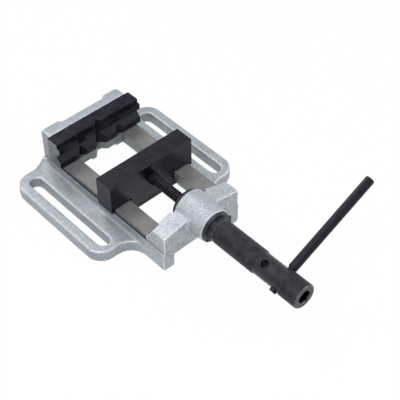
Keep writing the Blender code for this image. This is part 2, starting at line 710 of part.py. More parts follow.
def movable_jaw():
    """Sliding jaw block."""
    jaw = prism("movable_jaw", movable_jaw_outline(), "Y", MOVABLE_FRONT, MOVABLE_FACE)
    round_edges(jaw, JAW_EDGE, lambda edge: on_level(edge, JAW_TOP), segments=1)
    spindle = Matrix.Translation((0, 0, SPINDLE_Z))
    shank = 0.5 * SHANK_DIAMETER + RUN_GAP
    end = MOVABLE_FRONT + SHANK_LENGTH + RUN_GAP
    cut(jaw, place(rod("shank_hole", shank, end, MOVABLE_FRONT - SEAT_GAP, MEDIUM), spindle))
    pin = 0.5 * PIN_DIAMETER + RUN_GAP
    pin_hole = rod("pin_hole", pin, JAW_TOP + SEAT_GAP - SPINDLE_Z, 0.0, COARSE)
    cut(jaw, along_z(pin_hole, (0, pin_station(), SPINDLE_Z)))
    tapped = 0.5 * KEEPER_SCREW_THREAD + RUN_GAP
    for x, y in keeper_screw_places():
        hole = rod("keeper_hole", tapped, keeper_screw_tip() + RUN_GAP, 0.0, COARSE)
        cut(jaw, along_z(hole, (x, y, 0.0)))
    jaw.data.transform(Matrix.Translation((0, -MOVABLE_MIDDLE, -RAIL_TOP)))
    jaw.location = (0, MOVABLE_MIDDLE, RAIL_TOP)
    return finish_piece(jaw, BLACK_STEEL)


def pin_station():
    """Station of the lock pin, over the groove in the screw's shank."""
    return MOVABLE_FRONT + PIN_FROM_JAW_FRONT


def keeper_top():
    """Height of the keeper's upper face, just below the rail flanges."""
    return FLANGE_UNDERSIDE - SEAT_GAP


def keeper_head_seat():
    """Height of the counterbore seat for the keeper screws."""
    return keeper_top() - KEEPER_THICKNESS + KEEPER_SCREW_THREAD + KEEPER_HEAD_SINK


def keeper_screw_tip():
    """Height of the tips of the keeper screws."""
    return keeper_head_seat() - SEAT_GAP + KEEPER_SCREW_LENGTH


def keeper_screw_places():
    """Plan positions of the four keeper screws."""
    half_pitch = 0.5 * KEEPER_SCREW_PITCH
    return [(sx * KEEPER_SCREW_X, MOVABLE_MIDDLE + sy * half_pitch) for sy in (-1, 1) for sx in (-1, 1)]


def jaw_keeper():
    """Plate under the rails that keeps the movable jaw down."""
    half_x = RAIL_INNER + KEEPER_OVERLAP
    half_y = 0.5 * KEEPER_DEPTH
    bottom = keeper_top() - KEEPER_THICKNESS
    low = (-half_x, MOVABLE_MIDDLE - half_y, bottom)
    high = (half_x, MOVABLE_MIDDLE + half_y, keeper_top())
    keeper = box("jaw_keeper", low, high)
    round_edges(keeper, JAW_EDGE, lambda edge: on_level(edge, bottom), segments=1)
    radii = (0.5 * KEEPER_SCREW_THREAD + RUN_GAP, CAP_HEAD_RADIUS * KEEPER_SCREW_THREAD + RUN_GAP)
    stations = (keeper_top() + SEAT_GAP, keeper_head_seat(), bottom - SEAT_GAP)
    for x, y in keeper_screw_places():
        cut(keeper, along_z(stepped_hole("screw_hole", radii, stations, COARSE), (x, y, 0.0)))
    keeper.data.transform(Matrix.Translation((0, -MOVABLE_MIDDLE, -keeper_top())))
    keeper.location = (0, MOVABLE_MIDDLE, keeper_top())
    return finish_piece(keeper, BLACK_STEEL)


def keeper_screws():
    """Four cap screws that draw the keeper up to the tongue."""
    for index, (x, y) in enumerate(keeper_screw_places(), start=1):
        screw = cap_screw(f"keeper_screw_{index}", KEEPER_SCREW_THREAD, KEEPER_SCREW_LENGTH, COARSE)
        screw.data.transform(Matrix.Rotation(math.radians(-90), 4, "X"))
        screw.location = (x, y, keeper_head_seat() - SEAT_GAP)
        finish_piece(screw, BRIGHT_STEEL)


# Spindle group


def lead_screw():
    """Screw fixed in the movable jaw; its thread is only its outer size here."""
    origin = MOVABLE_FRONT
    radius = 0.5 * SCREW_DIAMETER
    shank = 0.5 * SHANK_DIAMETER
    collar = radius + SCREW_COLLAR_STEP
    neck = shank - PIN_GROOVE_DEPTH
    half_pin = 0.5 * PIN_DIAMETER + RUN_GAP
    pin = pin_station()
    start = MOVABLE_FRONT - SEAT_GAP
    thread_rear = start - SCREW_COLLAR_LENGTH
    stations = [
        (0.0, MOVABLE_FRONT + SHANK_LENGTH),
        (shank, MOVABLE_FRONT + SHANK_LENGTH),
        (shank, pin + half_pin),
        (neck, pin + half_pin),
        (neck, pin - half_pin),
        (shank, pin - half_pin),
        (shank, start),
        (collar, start),
        (collar, thread_rear),
        (radius, thread_rear),
        (radius, SCREW_FRONT + SLEEVE_CHAMFER),
        (radius - SLEEVE_CHAMFER, SCREW_FRONT),
        (0.0, SCREW_FRONT),
    ]
    screw = turned("lead_screw", [(r, y - origin) for r, y in stations], MEDIUM)
    screw.location = (0, origin, SPINDLE_Z)
    return finish_piece(screw, BLACK_STEEL)


def screw_lock_pin():
    """Pin that drops through the jaw into the groove of the screw."""
    bottom = 0.5 * SHANK_DIAMETER - PIN_GROOVE_DEPTH + SEAT_GAP
    top = JAW_TOP - PIN_RECESS - SPINDLE_Z
    radius = 0.5 * PIN_DIAMETER
    profile = [(0.0, top), (radius, top), (radius, bottom), (0.0, bottom)]
    pin = turned("screw_lock_pin", profile, COARSE)
    pin.data.transform(Matrix.Rotation(math.radians(90), 4, "X"))
    pin.location = (0, pin_station(), SPINDLE_Z)
    return finish_piece(pin, BRIGHT_STEEL)


def across_sleeve(obj, station, degrees):
    """Turn a piece made along Y so that it crosses the sleeve at a station."""
    to_x = Matrix.Rotation(math.radians(-90), 4, "Z")
    spin = Matrix.Rotation(math.radians(-degrees), 4, "Y")
    return place(obj, Matrix.Translation((0, station, 0)) @ spin @ to_x)


def sleeve_profile():
    """Half section of the nut sleeve as (radius, station) from its rear bore round to its end."""
    bore = 0.5 * SCREW_DIAMETER + RUN_GAP
    journal = 0.5 * JOURNAL_DIAMETER
    groove = journal - RING_GROOVE_DEPTH
    body = 0.5 * BODY_DIAMETER
    grip = 0.5 * GRIP_DIAMETER
    head = 0.5 * HEAD_DIAMETER
    groove_front = RING_FRONT - SEAT_GAP
    neck = groove_front - RING_LAND
    edge = SLEEVE_CHAMFER
    return [
        (0.0, GRIP_REAR),
        (bore, GRIP_REAR),
        (bore, FLANGE_REAR),
        (FLANGE_RADIUS - 0.5 * edge, FLANGE_REAR),
        (FLANGE_RADIUS, FLANGE_REAR - 0.5 * edge),
        (FLANGE_RADIUS, FLANGE_FRONT),
        (journal, FLANGE_FRONT),
        (journal, WASHER_FRONT),
        (groove, WASHER_FRONT),
        (groove, groove_front),
        (journal, groove_front),
        (journal, neck),
        (grip, neck),
        (grip, BODY_REAR),
        (body - 0.5 * edge, BODY_REAR),
        (body, BODY_REAR - 0.5 * edge),
        (body, GRIP_REAR),
        (grip, GRIP_REAR - 0.5 * edge),
        (grip, HEAD_REAR),
        (head, HEAD_REAR - 0.5 * edge),
        (head, HEAD_FRONT + edge),
        (head - edge, HEAD_FRONT),
        (0.0, HEAD_FRONT),
    ]


def nut_sleeve():
    """Turning sleeve with the nut thread, two cross holes and a hexagon socket."""
    sleeve = turned("nut_sleeve", [(r, y - BOSS_FRONT) for r, y in sleeve_profile()], FINE)
    radius = 0.5 * CROSS_HOLE_DIAMETER
    reach = HEAD_DIAMETER
    grip = 0.5 * GRIP_DIAMETER
    holes = ((FIRST_HOLE, LEVER_TURN_DEGREES + 90.0), (LEVER_STATION, LEVER_TURN_DEGREES))
    for station, degrees in holes:
        sink = CROSS_HOLE_SINK
        profile = [
            (0.0, reach),
            (radius + sink + reach - grip, reach),
            (radius, grip - sink),
            (radius, sink - grip),
            (radius + sink + reach - grip, -reach),
            (0.0, -reach),
        ]
        cut(sleeve, across_sleeve(turned("cross_hole", profile, MEDIUM), station - BOSS_FRONT, degrees))
    end = HEAD_FRONT - BOSS_FRONT
    outline = hexagon(SOCKET_ACROSS_FLATS)
    cut(sleeve, prism("socket", outline, "Y", end - SEAT_GAP, end + SOCKET_DEPTH))
    sleeve.location = (0, BOSS_FRONT, SPINDLE_Z)
    return finish_piece(sleeve, DARK_STEEL)


def thrust_washer():
    """Hardened washer between the sleeve's flange and the boss."""
    hole = 0.5 * JOURNAL_DIAMETER + RUN_GAP
    rim = FLANGE_RADIUS
    thickness = WASHER_THICKNESS
    profile = [(hole, 0.0), (rim, 0.0), (rim, thickness), (hole, thickness)]
    washer = turned("thrust_washer", profile, FINE, ring=True)
    washer.location = (0, THRUST_WASHER_FRONT, SPINDLE_Z)
    return finish_piece(washer, DARK_STEEL)


def front_washer():
    """Washer between the boss and the retaining ring."""
    hole = 0.5 * JOURNAL_DIAMETER + RUN_GAP
    rim = hole + FRONT_WASHER_MARGIN
    thickness = FRONT_WASHER_THICKNESS
    profile = [(hole, -thickness), (rim, -thickness), (rim, 0.0), (hole, 0.0)]
    washer = turned("front_washer", profile, FINE, ring=True)
    washer.location = (0, WASHER_REAR, SPINDLE_Z)
    return finish_piece(washer, BLACK_STEEL)


def ring_outline(inner, outer):
    """Outline of the open ring in the XZ plane; each end swells into a round eye."""
    eye = RING_EYE_RADIUS
    middle = inner + eye
    turn = math.degrees(math.acos((outer**2 - middle**2 - eye**2) / (2.0 * middle * eye)))
    lead = math.degrees(math.asin(eye * math.sin(math.radians(turn)) / outer))
    start = RING_START_DEGREES
    stop = start + RING_SWEEP_DEGREES
    steps = 3 * ARC_STEPS
    outline = arc((0, 0), outer, start + lead, stop - lead, steps)
    outline += arc(arc((0, 0), middle, stop, stop, 1)[0], eye, stop - turn, stop + 180.0, 8)[1:]
    outline += arc((0, 0), inner, stop, start, steps)[1:]
    outline += arc(arc((0, 0), middle, start, start, 1)[0], eye, start - 180.0, start + turn, 8)[1:-1]
    return outline


def retaining_ring():
    """Open spring ring in the sleeve's groove, with an eye at each end."""
    inner = 0.5 * JOURNAL_DIAMETER - RING_GROOVE_DEPTH + RUN_GAP
    ring = prism("retaining_ring", ring_outline(inner, inner + RING_WIDTH), "Y", -RING_THICKNESS, 0.0)
    middle = inner + RING_EYE_RADIUS
    past_front = -RING_THICKNESS - SEAT_GAP
    for degrees in (RING_START_DEGREES, RING_START_DEGREES + RING_SWEEP_DEGREES):
        angle = math.radians(degrees)
        centre = Matrix.Translation((middle * math.cos(angle), 0.0, middle * math.sin(angle)))
        cut(ring, place(rod("eye_hole", RING_EYE_HOLE, SEAT_GAP, past_front, COARSE), centre))
    ring.location = (0, RING_REAR, SPINDLE_Z)
    return finish_piece(ring, BLACK_STEEL)


def lever_bar():
    """Plug-in lever: a thick bar, a shoulder and a thinner shank through the sleeve."""
    radius = 0.5 * LEVER_DIAMETER
    shank = 0.5 * CROSS_HOLE_DIAMETER - RUN_GAP
    shoulder = 0.5 * HEAD_DIAMETER + RUN_GAP
    end = -(0.5 * GRIP_DIAMETER + LEVER_STUB)
    edge = LEVER_TIP_CHAMFER
    profile = [
        (0.0, LEVER_REACH),
        (radius - edge, LEVER_REACH),
        (radius, LEVER_REACH - edge),
        (radius, shoulder),
        (shank, shoulder),
        (shank, end + 0.5 * edge),
        (shank - 0.5 * edge, end),
        (0.0, end),
    ]
    lever = turned("lever_bar", profile, MEDIUM)
    across_sleeve(lever, 0.0, LEVER_TURN_DEGREES)
    lever.location = (0, LEVER_STATION, SPINDLE_Z)
    return finish_piece(lever, DARK_STEEL)


def main():
    """Build every piece of the vise."""
    clear_scene()
    base_casting()
    fixed_jaw()
    fixed_jaw_fasteners()
    movable_jaw()
    jaw_keeper()
    keeper_screws()
    lead_screw()
    screw_lock_pin()
    nut_sleeve()
    thrust_washer()
    front_washer()
    retaining_ring()
    lever_bar()


main()
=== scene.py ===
"""Dressed model of a drill-press machine vise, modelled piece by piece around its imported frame.

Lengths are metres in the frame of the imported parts: X runs along the jaws, +Y points from the operator to the
fixed jaw and +Z is up. Every piece is modelled with Blender's own operators and rides on the body it belongs to.
"""

import json
import logging
import math
from collections.abc import Callable, Iterator, Sequence
from contextlib import contextmanager
from dataclasses import dataclass, field
from enum import Enum

import bmesh
import bpy
from bpy.types import Material, Node, NodeSocket, NodeTree, Object
from mathutils import Matrix, Vector


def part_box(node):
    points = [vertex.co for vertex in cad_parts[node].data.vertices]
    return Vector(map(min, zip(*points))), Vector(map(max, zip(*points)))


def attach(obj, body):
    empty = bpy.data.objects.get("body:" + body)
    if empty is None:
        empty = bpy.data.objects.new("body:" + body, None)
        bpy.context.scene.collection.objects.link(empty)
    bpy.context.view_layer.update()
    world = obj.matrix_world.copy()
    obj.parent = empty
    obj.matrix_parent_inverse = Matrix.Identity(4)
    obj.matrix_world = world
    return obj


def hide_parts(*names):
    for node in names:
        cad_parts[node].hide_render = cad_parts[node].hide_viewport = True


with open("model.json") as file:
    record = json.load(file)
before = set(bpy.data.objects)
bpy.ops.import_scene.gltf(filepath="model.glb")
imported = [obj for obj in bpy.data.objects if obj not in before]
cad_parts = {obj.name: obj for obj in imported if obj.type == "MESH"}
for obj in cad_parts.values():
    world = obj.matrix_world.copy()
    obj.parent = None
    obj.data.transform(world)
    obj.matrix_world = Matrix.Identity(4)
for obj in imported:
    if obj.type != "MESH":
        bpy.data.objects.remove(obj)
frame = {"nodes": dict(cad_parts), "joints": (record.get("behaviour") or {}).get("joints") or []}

log = logging.getLogger("vise")

Colour = tuple[float, float, float, float]
Pair = tuple[float, float]
Points = Sequence[Pair]

# Directions in the frame
ACROSS = Vector((1.0, 0.0, 0.0))
REARWARD = Vector((0.0, 1.0, 0.0))
FRONTWARD = Vector((0.0, -1.0, 0.0))
UPWARD = Vector((0.0, 0.0, 1.0))

# Clearance between pieces, distance within which points merge, and distance that counts as none
SEAT_GAP = 0.0003
WELD = 1e-6
NEAR = 10.0 * WELD

# Angle up to which two faces count as one flat face, a full turn in degrees, and the sides of a key's socket
FLAT_DEGREES = 0.5
FULL_TURN = 360.0
HEXAGON = 6

# Name of the value that the casting's vertices carry, see Casting.mark_relief
RELIEF = "relief"

# How streaks along the jaws are drawn out, and how high the painted shade above a ledge reaches
ALONG_X = (40.0, 1.0, 1.0)
STRIP_CORNER_SHADE = 0.0016
WHITE: Colour = (1.0, 1.0, 1.0, 1.0)

# Ranges of a value: all of it, and the wide and the narrow middle of a noise
FULL: Pair = (0.0, 1.0)
WIDE: Pair = (0.3, 0.7)
MIDDLE: Pair = (0.35, 0.65)


class Action(Enum):
    """What a tool does to the piece that it meets."""

    ADD = "UNION"
    CUT = "DIFFERENCE"


class Side(Enum):
    """Left or right of the middle plane."""

    LEFT = -1
    RIGHT = 1


def chip(red: int, green: int, blue: int) -> Colour:
    """Turn a colour as it is seen on a chart, 0 to 255, into the linear colour that a shader takes.

    Args:
        red: Red value of the chip.
        green: Green value of the chip.
        blue: Blue value of the chip.

    Returns:
        Linear red, green, blue and an alpha of one.
    """
    linear = []
    for value in (red, green, blue):
        share = value / 255.0
        linear.append(share / 12.92 if share <= 0.04045 else ((share + 0.055) / 1.055) ** 2.4)
    return linear[0], linear[1], linear[2], 1.0


# Bench: operators that every piece is made with


def activate(*objects: Object) -> None:
    """Select these objects alone and make the first one active.

    Args:
        objects: Objects to work on.
    """
    if bpy.context.mode != "OBJECT":
        bpy.ops.object.mode_set(mode="OBJECT")
    bpy.ops.object.select_all(action="DESELECT")
    for obj in objects:
        obj.select_set(True)
    bpy.context.view_layer.objects.active = objects[0]


@contextmanager
def editing(obj: Object) -> Iterator[None]:
    """Hold an object in edit mode with all of its mesh selected.

    Args:
        obj: Object to edit.

    Returns:
        A context in which mesh operators act on the object.
    """
    activate(obj)
    bpy.ops.object.mode_set(mode="EDIT")
    bpy.ops.mesh.select_mode(type="VERT")
    bpy.ops.mesh.select_all(action="SELECT")
    yield
    bpy.ops.object.mode_set(mode="OBJECT")


def choose(obj: Object, test: Callable[[bmesh.types.BMVert], bool]) -> None:
    """Select the vertices that a test picks on an object in edit mode.

    Args:
        obj: Object in edit mode.
        test: Says whether a vertex is picked.
    """
    bpy.ops.mesh.select_all(action="DESELECT")
    bm = bmesh.from_edit_mesh(obj.data)
    for vertex in bm.verts:
        if test(vertex):
            vertex.select_set(True)
    bm.select_flush_mode()
    bmesh.update_edit_mesh(obj.data)


def tidy_mesh(obj: Object) -> None:
    """Merge doubled vertices and dissolve the edges inside flat faces.

    Args:
        obj: Object to clean.
    """
    with editing(obj):
        bpy.ops.mesh.remove_doubles(threshold=NEAR)
        bpy.ops.mesh.dissolve_limited(angle_limit=math.radians(FLAT_DEGREES))


def chain(name: str, points: Sequence[Vector]) -> Object:
    """Extrude one vertex from point to point.

    Args:
        name: Name of the new object.
        points: Points that the chain runs through.

    Returns:
        Object that holds the chain of edges.
    """
    bpy.ops.object.select_all(action="DESELECT")
    bpy.ops.mesh.primitive_plane_add(size=0.01, location=(0.0, 0.0, 0.0))
    obj = bpy.context.active_object
    obj.name = name
    with editing(obj):
        bpy.ops.mesh.merge(type="CENTER")
        bpy.ops.transform.translate(value=points[0])
        for start, stop in zip(points, points[1:]):
            bpy.ops.mesh.extrude_region_move(TRANSFORM_OT_translate={"value": stop - start})
    return obj


def prism(name: str, outline: Sequence[Vector], travel: Vector) -> Object:
    """Fill an outline and extrude it.

    Args:
        name: Name of the new object.
        outline: Corners of the outline in order.
        travel: Way that the filled outline is extruded.

    Returns:
        Closed prism.
    """
    obj = chain(name, [*outline, outline[0]])
    with editing(obj):
        bpy.ops.mesh.remove_doubles(threshold=WELD)
        bpy.ops.mesh.edge_face_add()
        bpy.ops.mesh.extrude_region_move(TRANSFORM_OT_translate={"value": travel})
        bpy.ops.mesh.select_all(action="SELECT")
        bpy.ops.mesh.normals_make_consistent(inside=False)
    return obj


def block(name: str, low: Sequence[float], high: Sequence[float]) -> Object:
    """Add a cube between two corners as the start or the cutter of a piece.

    Args:
        name: Name of the new object.
        low: Lowest corner.
        high: Highest corner.

    Returns:
        Block whose object sits at the origin.
    """
    middle = (Vector(low) + Vector(high)) * 0.5
    bpy.ops.object.select_all(action="DESELECT")
    bpy.ops.mesh.primitive_cube_add(size=1.0, location=middle, scale=Vector(high) - Vector(low))
    obj = bpy.context.active_object
    obj.name = name
    bpy.ops.object.transform_apply(location=True, rotation=True, scale=True)
    return obj


@dataclass(frozen=True)
class Axis:
    """Line that a round piece is turned about, with stations measured along it."""

    origin: Vector
    along: Vector
    across: Vector

    def point(self, radius: float, station: float) -> Vector:
        """Return the point at a radius and a station."""
        return self.origin + self.along * station + self.across * radius


def turned(name: str, axis: Axis, profile: Points, steps: int = 64, sweep: float = FULL_TURN) -> Object:
    """Spin a closed or axis-to-axis profile about a line.

    Args:
        name: Name of the new object.
        axis: Line that the profile spins about.
        profile: Radius and station of each point; a ring's profile ends where it starts.
        steps: Facets of the whole sweep.
        sweep: Angle of the spin in degrees, right-handed about the axis; under a full turn the profile is filled.

    Returns:
        Closed round piece.
    """
    obj = chain(name, [axis.point(radius, station) for radius, station in profile])
    with editing(obj):
        if sweep < FULL_TURN:
            bpy.ops.mesh.remove_doubles(threshold=WELD)
            bpy.ops.mesh.edge_face_add()
        bpy.ops.mesh.spin(steps=steps, angle=-math.radians(sweep), center=axis.origin, axis=axis.along)
        bpy.ops.mesh.select_all(action="SELECT")
        bpy.ops.mesh.remove_doubles(threshold=WELD)
        bpy.ops.mesh.normals_make_consistent(inside=False)
    return obj


def rod(name: str, axis: Axis, radius: float, start: float, stop: float, steps: int = 48) -> Object:
    """Turn a plain rod, as a cutter or as stock.

    Args:
        name: Name of the new object.
        axis: Line that the rod lies on.
        radius: Radius of the rod.
        start: Station of its first end.
        stop: Station of its other end.
        steps: Facets around it.

    Returns:
        Closed rod.
    """
    return stepped(name, axis, start, (radius, stop), steps=steps)


def stepped(name: str, axis: Axis, start: float, *cylinders: Pair, steps: int) -> Object:
    """Turn a row of cylinders, as a cutter or as stock.

    Args:
        name: Name of the new object.
        axis: Line that they lie on.
        start: Station where the first one starts.
        cylinders: Radius and last station of each.
        steps: Facets around it.

    Returns:
        Closed piece.
    """
    profile = [(0.0, start)]
    for radius, stop in cylinders:
        profile += [(radius, profile[-1][1]), (radius, stop)]
    return turned(name, axis, [*profile, (0.0, profile[-1][1])], steps)


def hoop(name: str, axis: Axis, radii: Pair, ends: Pair, steps: int, sweep: float) -> Object:
    """Turn a flat ring or a part of one.

    Args:
        name: Name of the new object.
        axis: Line that it lies around.
        radii: Its inner and outer radius.
        ends: Its first and last station.
        steps: Facets of the sweep.
        sweep: Angle of the sweep in degrees.

    Returns:
        Closed piece.
    """
    (inner, outer), (start, stop) = radii, ends
    profile = [(inner, start), (outer, start), (outer, stop), (inner, stop), (inner, start)]
    return turned(name, axis, profile, steps, sweep)


def apply_modifier(obj: Object, kind: str, **settings: object) -> None:
    """Add a modifier, set it up and apply it.

    Args:
        obj: Object that takes the modifier.
        kind: Type of the modifier.
        settings: Its settings by name.
    """
    activate(obj)
    modifier = obj.modifiers.new(kind.title(), kind)
    for key, value in settings.items():
        setattr(modifier, key, value)
    bpy.ops.object.modifier_apply(modifier=modifier.name)


def combine(piece: Object, tool: Object, action: Action) -> Object:
    """Join a tool to a piece or cut it out, and drop the tool.

    Args:
        piece: Piece that is changed.
        tool: Closed tool; its finish goes onto the faces that it makes.
        action: Whether the tool adds or cuts.

    Returns:
        The changed piece.
    """
    settings = {"object": tool, "operation": action.value, "solver": "EXACT", "material_mode": "TRANSFER"}
    apply_modifier(piece, "BOOLEAN", **settings)
    bpy.data.objects.remove(tool, do_unlink=True)
    return piece


def gather(objects: Sequence[Object]) -> Object:
    """Join loose objects into the first one.

    Args:
        objects: Objects to join.

    Returns:
        The first object, which now holds them all.
    """
    activate(*objects)
    bpy.ops.object.join()
    return objects[0]


def soften(obj: Object, width: float, segments: int = 2, degrees: float = 35.0) -> Object:
    """Break the sharp edges of a piece.

    Args:
        obj: Piece to soften.
        width: Width of the broken edge.
        segments: Steps across it.
        degrees: Edges sharper than this angle are broken.

    Returns:
        The softened piece.
    """
    tidy_mesh(obj)
    apply_modifier(
        obj,
        "BEVEL",
        width=width,
        segments=segments,
        limit_method="ANGLE",
        angle_limit=math.radians(degrees),
        use_clamp_overlap=True,
        miter_outer="MITER_ARC",
    )
    return obj


def dress(obj: Object, *materials: Material) -> Object:
    """Put materials on a piece.

    Args:
        obj: Piece to dress.
        materials: Its material slots in order.

    Returns:
        The dressed piece.
    """
    obj.data.materials.clear()
    for material in materials:
        obj.data.materials.append(material)
    return obj


def seat(obj: Object, body: str, slot: str, *nodes: str, degrees: float = 30.0) -> Object:
    """Shade a finished piece and seat it in the frame in place of the solids it stands for.

    Args:
        obj: Finished piece.
        body: Body that it rides on.
        slot: Not used.
        nodes: Solids that it stands for.
        degrees: Edges sharper than this angle stay sharp.

    Returns:
        The seated piece.
    """
    activate(obj)
    bpy.ops.object.shade_smooth_by_angle(angle=math.radians(degrees))
    apply_modifier(obj, "WEIGHTED_NORMAL", keep_sharp=True)
    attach(obj, body)
    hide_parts(*nodes)
    log.info("%s rides on %s with %d faces", obj.name, body, len(obj.data.polygons))
    return obj


def arc(centre: Pair, radius: float, start: float, stop: float, steps: int) -> list[Pair]:
    """Work out points on an arc.

    Args:
        centre: Centre of the arc.
        radius: Its radius.
        start: First angle in degrees.
        stop: Last angle in degrees.
        steps: Chords along the arc.

    Returns:
        Points from the first angle to the last.
    """
    points = []
    for index in range(steps + 1):
        angle = math.radians(start + (stop - start) * index / steps)
        points.append((centre[0] + radius * math.cos(angle), centre[1] + radius * math.sin(angle)))
    return points


def mirrored(half: Points) -> list[Pair]:
    """Close a half outline whose first and last points lie on the centre line.

    Args:
        half: Points of the half with positive X.

    Returns:
        Points of the whole outline.
    """
    return [*half, *((-x, other) for x, other in reversed(half[1:-1]))]


# Finishes


def add_node(tree: NodeTree, kind: str, inputs: dict[str | int, object], **settings: object) -> Node:
    """Add a shader node, set it up and feed its inputs.

    Args:
        tree: Node tree that it goes into.
        kind: Kind of the node, without the prefix that all shader nodes have.
        inputs: Socket or value for each input, by name or place.
        settings: Its settings by name.

    Returns:
        The node.
    """
    node = tree.nodes.new(f"ShaderNode{kind}")
    for key, value in settings.items():
        setattr(node, key, value)
    for key, value in inputs.items():
        if isinstance(value, NodeSocket):
            tree.links.new(value, node.inputs[key])
        else:
            node.inputs[key].default_value = value
    return node


class Shade:
    """Node graph of one material; patterns lie on Object coordinates."""

    def __init__(self, name: str, roughness: float, metallic: float) -> None:
        """Start a material.

        Args:
            name: Name of the material.
            roughness: Roughness where no pattern changes it.
            metallic: How metallic it is.
        """
        self.material = bpy.data.materials.new(name)
        self.material.use_nodes = True
        self.tree = self.material.node_tree
        self.shader = self.tree.nodes["Principled BSDF"]
        self.shader.inputs["Roughness"].default_value = roughness
        self.shader.inputs["Metallic"].default_value = metallic
        self.place = self.node("TexCoord").outputs["Object"]

    def node(self, kind: str, inputs: dict[str | int, object] | None = None, **settings: object) -> Node:
        """Add a node to the material."""
        return add_node(self.tree, kind, inputs or {}, **settings)

    def grain(self, size: float, stretch: Sequence[float] = (1, 1, 1), detail: float = 2.0) -> NodeSocket:
        """Lay a noise whose features have a real size.

        Args:
            size: Size of a feature in metres.
            stretch: How far a feature is drawn out along X, Y and Z.
            detail: Octaves of finer noise in it.

        Returns:
            Noise value from 0 to 1.
        """
        scale = [1.0 / (size * share) for share in stretch]
        place = self.node("Mapping", {"Vector": self.place, "Scale": scale}).outputs["Vector"]
        return self.node("TexNoise", {"Vector": place, "Scale": 1.0, "Detail": detail}).outputs["Fac"]

    def spread(self, value: NodeSocket, source: Pair, result: Pair = FULL) -> NodeSocket:
        """Map a range of values to another range, clamped.

        Args:
            value: Socket to map.
            source: Values between which it is mapped.
            result: Results at those two values.

        Returns:
            Mapped value.
        """
        ends = zip(("From Min", "From Max", "To Min", "To Max"), (*source, *result))
        return self.node("MapRange", {"Value": value, **dict(ends)}).outputs["Result"]

    def mix(self, share: NodeSocket, first: object, second: object) -> NodeSocket:
        """Blend two colours.

        Args:
            share: Share of the second colour.
            first: Colour or colour socket.
            second: Colour or colour socket.

        Returns:
            Blended colour.
        """
        return self.node("Mix", {0: share, 6: first, 7: second}, data_type="RGBA").outputs[2]

    def maths(self, operation: str, first: object, second: object = 0.0) -> NodeSocket:
        """Work out one value from one or two others.

        Args:
            operation: Name of the operation.
            first: Number or value socket.
            second: Number or value socket.

        Returns:
            Result.
        """
        return self.node("Math", {0: first, 1: second}, operation=operation).outputs["Value"]

    def radius(self, axis: Axis) -> NodeSocket:
        """Measure the distance from a line.

        Args:
            axis: Line to measure from.

        Returns:
            Distance in metres.
        """
        vector = self.place
        for operation, other in (("SUBTRACT", axis.origin), ("CROSS_PRODUCT", axis.along), ("LENGTH", Vector())):
            node = self.node("VectorMath", {0: vector, 1: other}, operation=operation)
            vector = node.outputs[0]
        return node.outputs["Value"]

    def attribute(self, name: str) -> NodeSocket:
        """Read a value that the mesh carries."""
        return self.node("Attribute", attribute_name=name).outputs["Fac"]

    def along(self, axis: str) -> NodeSocket:
        """Read one coordinate of the place, X, Y or Z."""
        return self.node("SeparateXYZ", {"Vector": self.place}).outputs[axis]

    def paint(self, colour: NodeSocket) -> None:
        """Give the surface its colour."""
        self.tree.links.new(colour, self.shader.inputs["Base Color"])

    def rub(self, roughness: NodeSocket) -> None:
        """Give the surface its roughness."""
        self.tree.links.new(roughness, self.shader.inputs["Roughness"])

    def emboss(self, *layers: tuple[NodeSocket, float, float]) -> None:
        """Raise the surface by several height layers.

        Args:
            layers: Height socket, strength and depth in metres of each layer.
        """
        below: dict[str, object] = {}
        for height, strength, depth in layers:
            bump = self.node("Bump", {"Height": height, "Strength": strength, "Distance": depth, **below})
            below = {"Normal": bump.outputs["Normal"]}
        self.tree.links.new(below["Normal"], self.shader.inputs["Normal"])


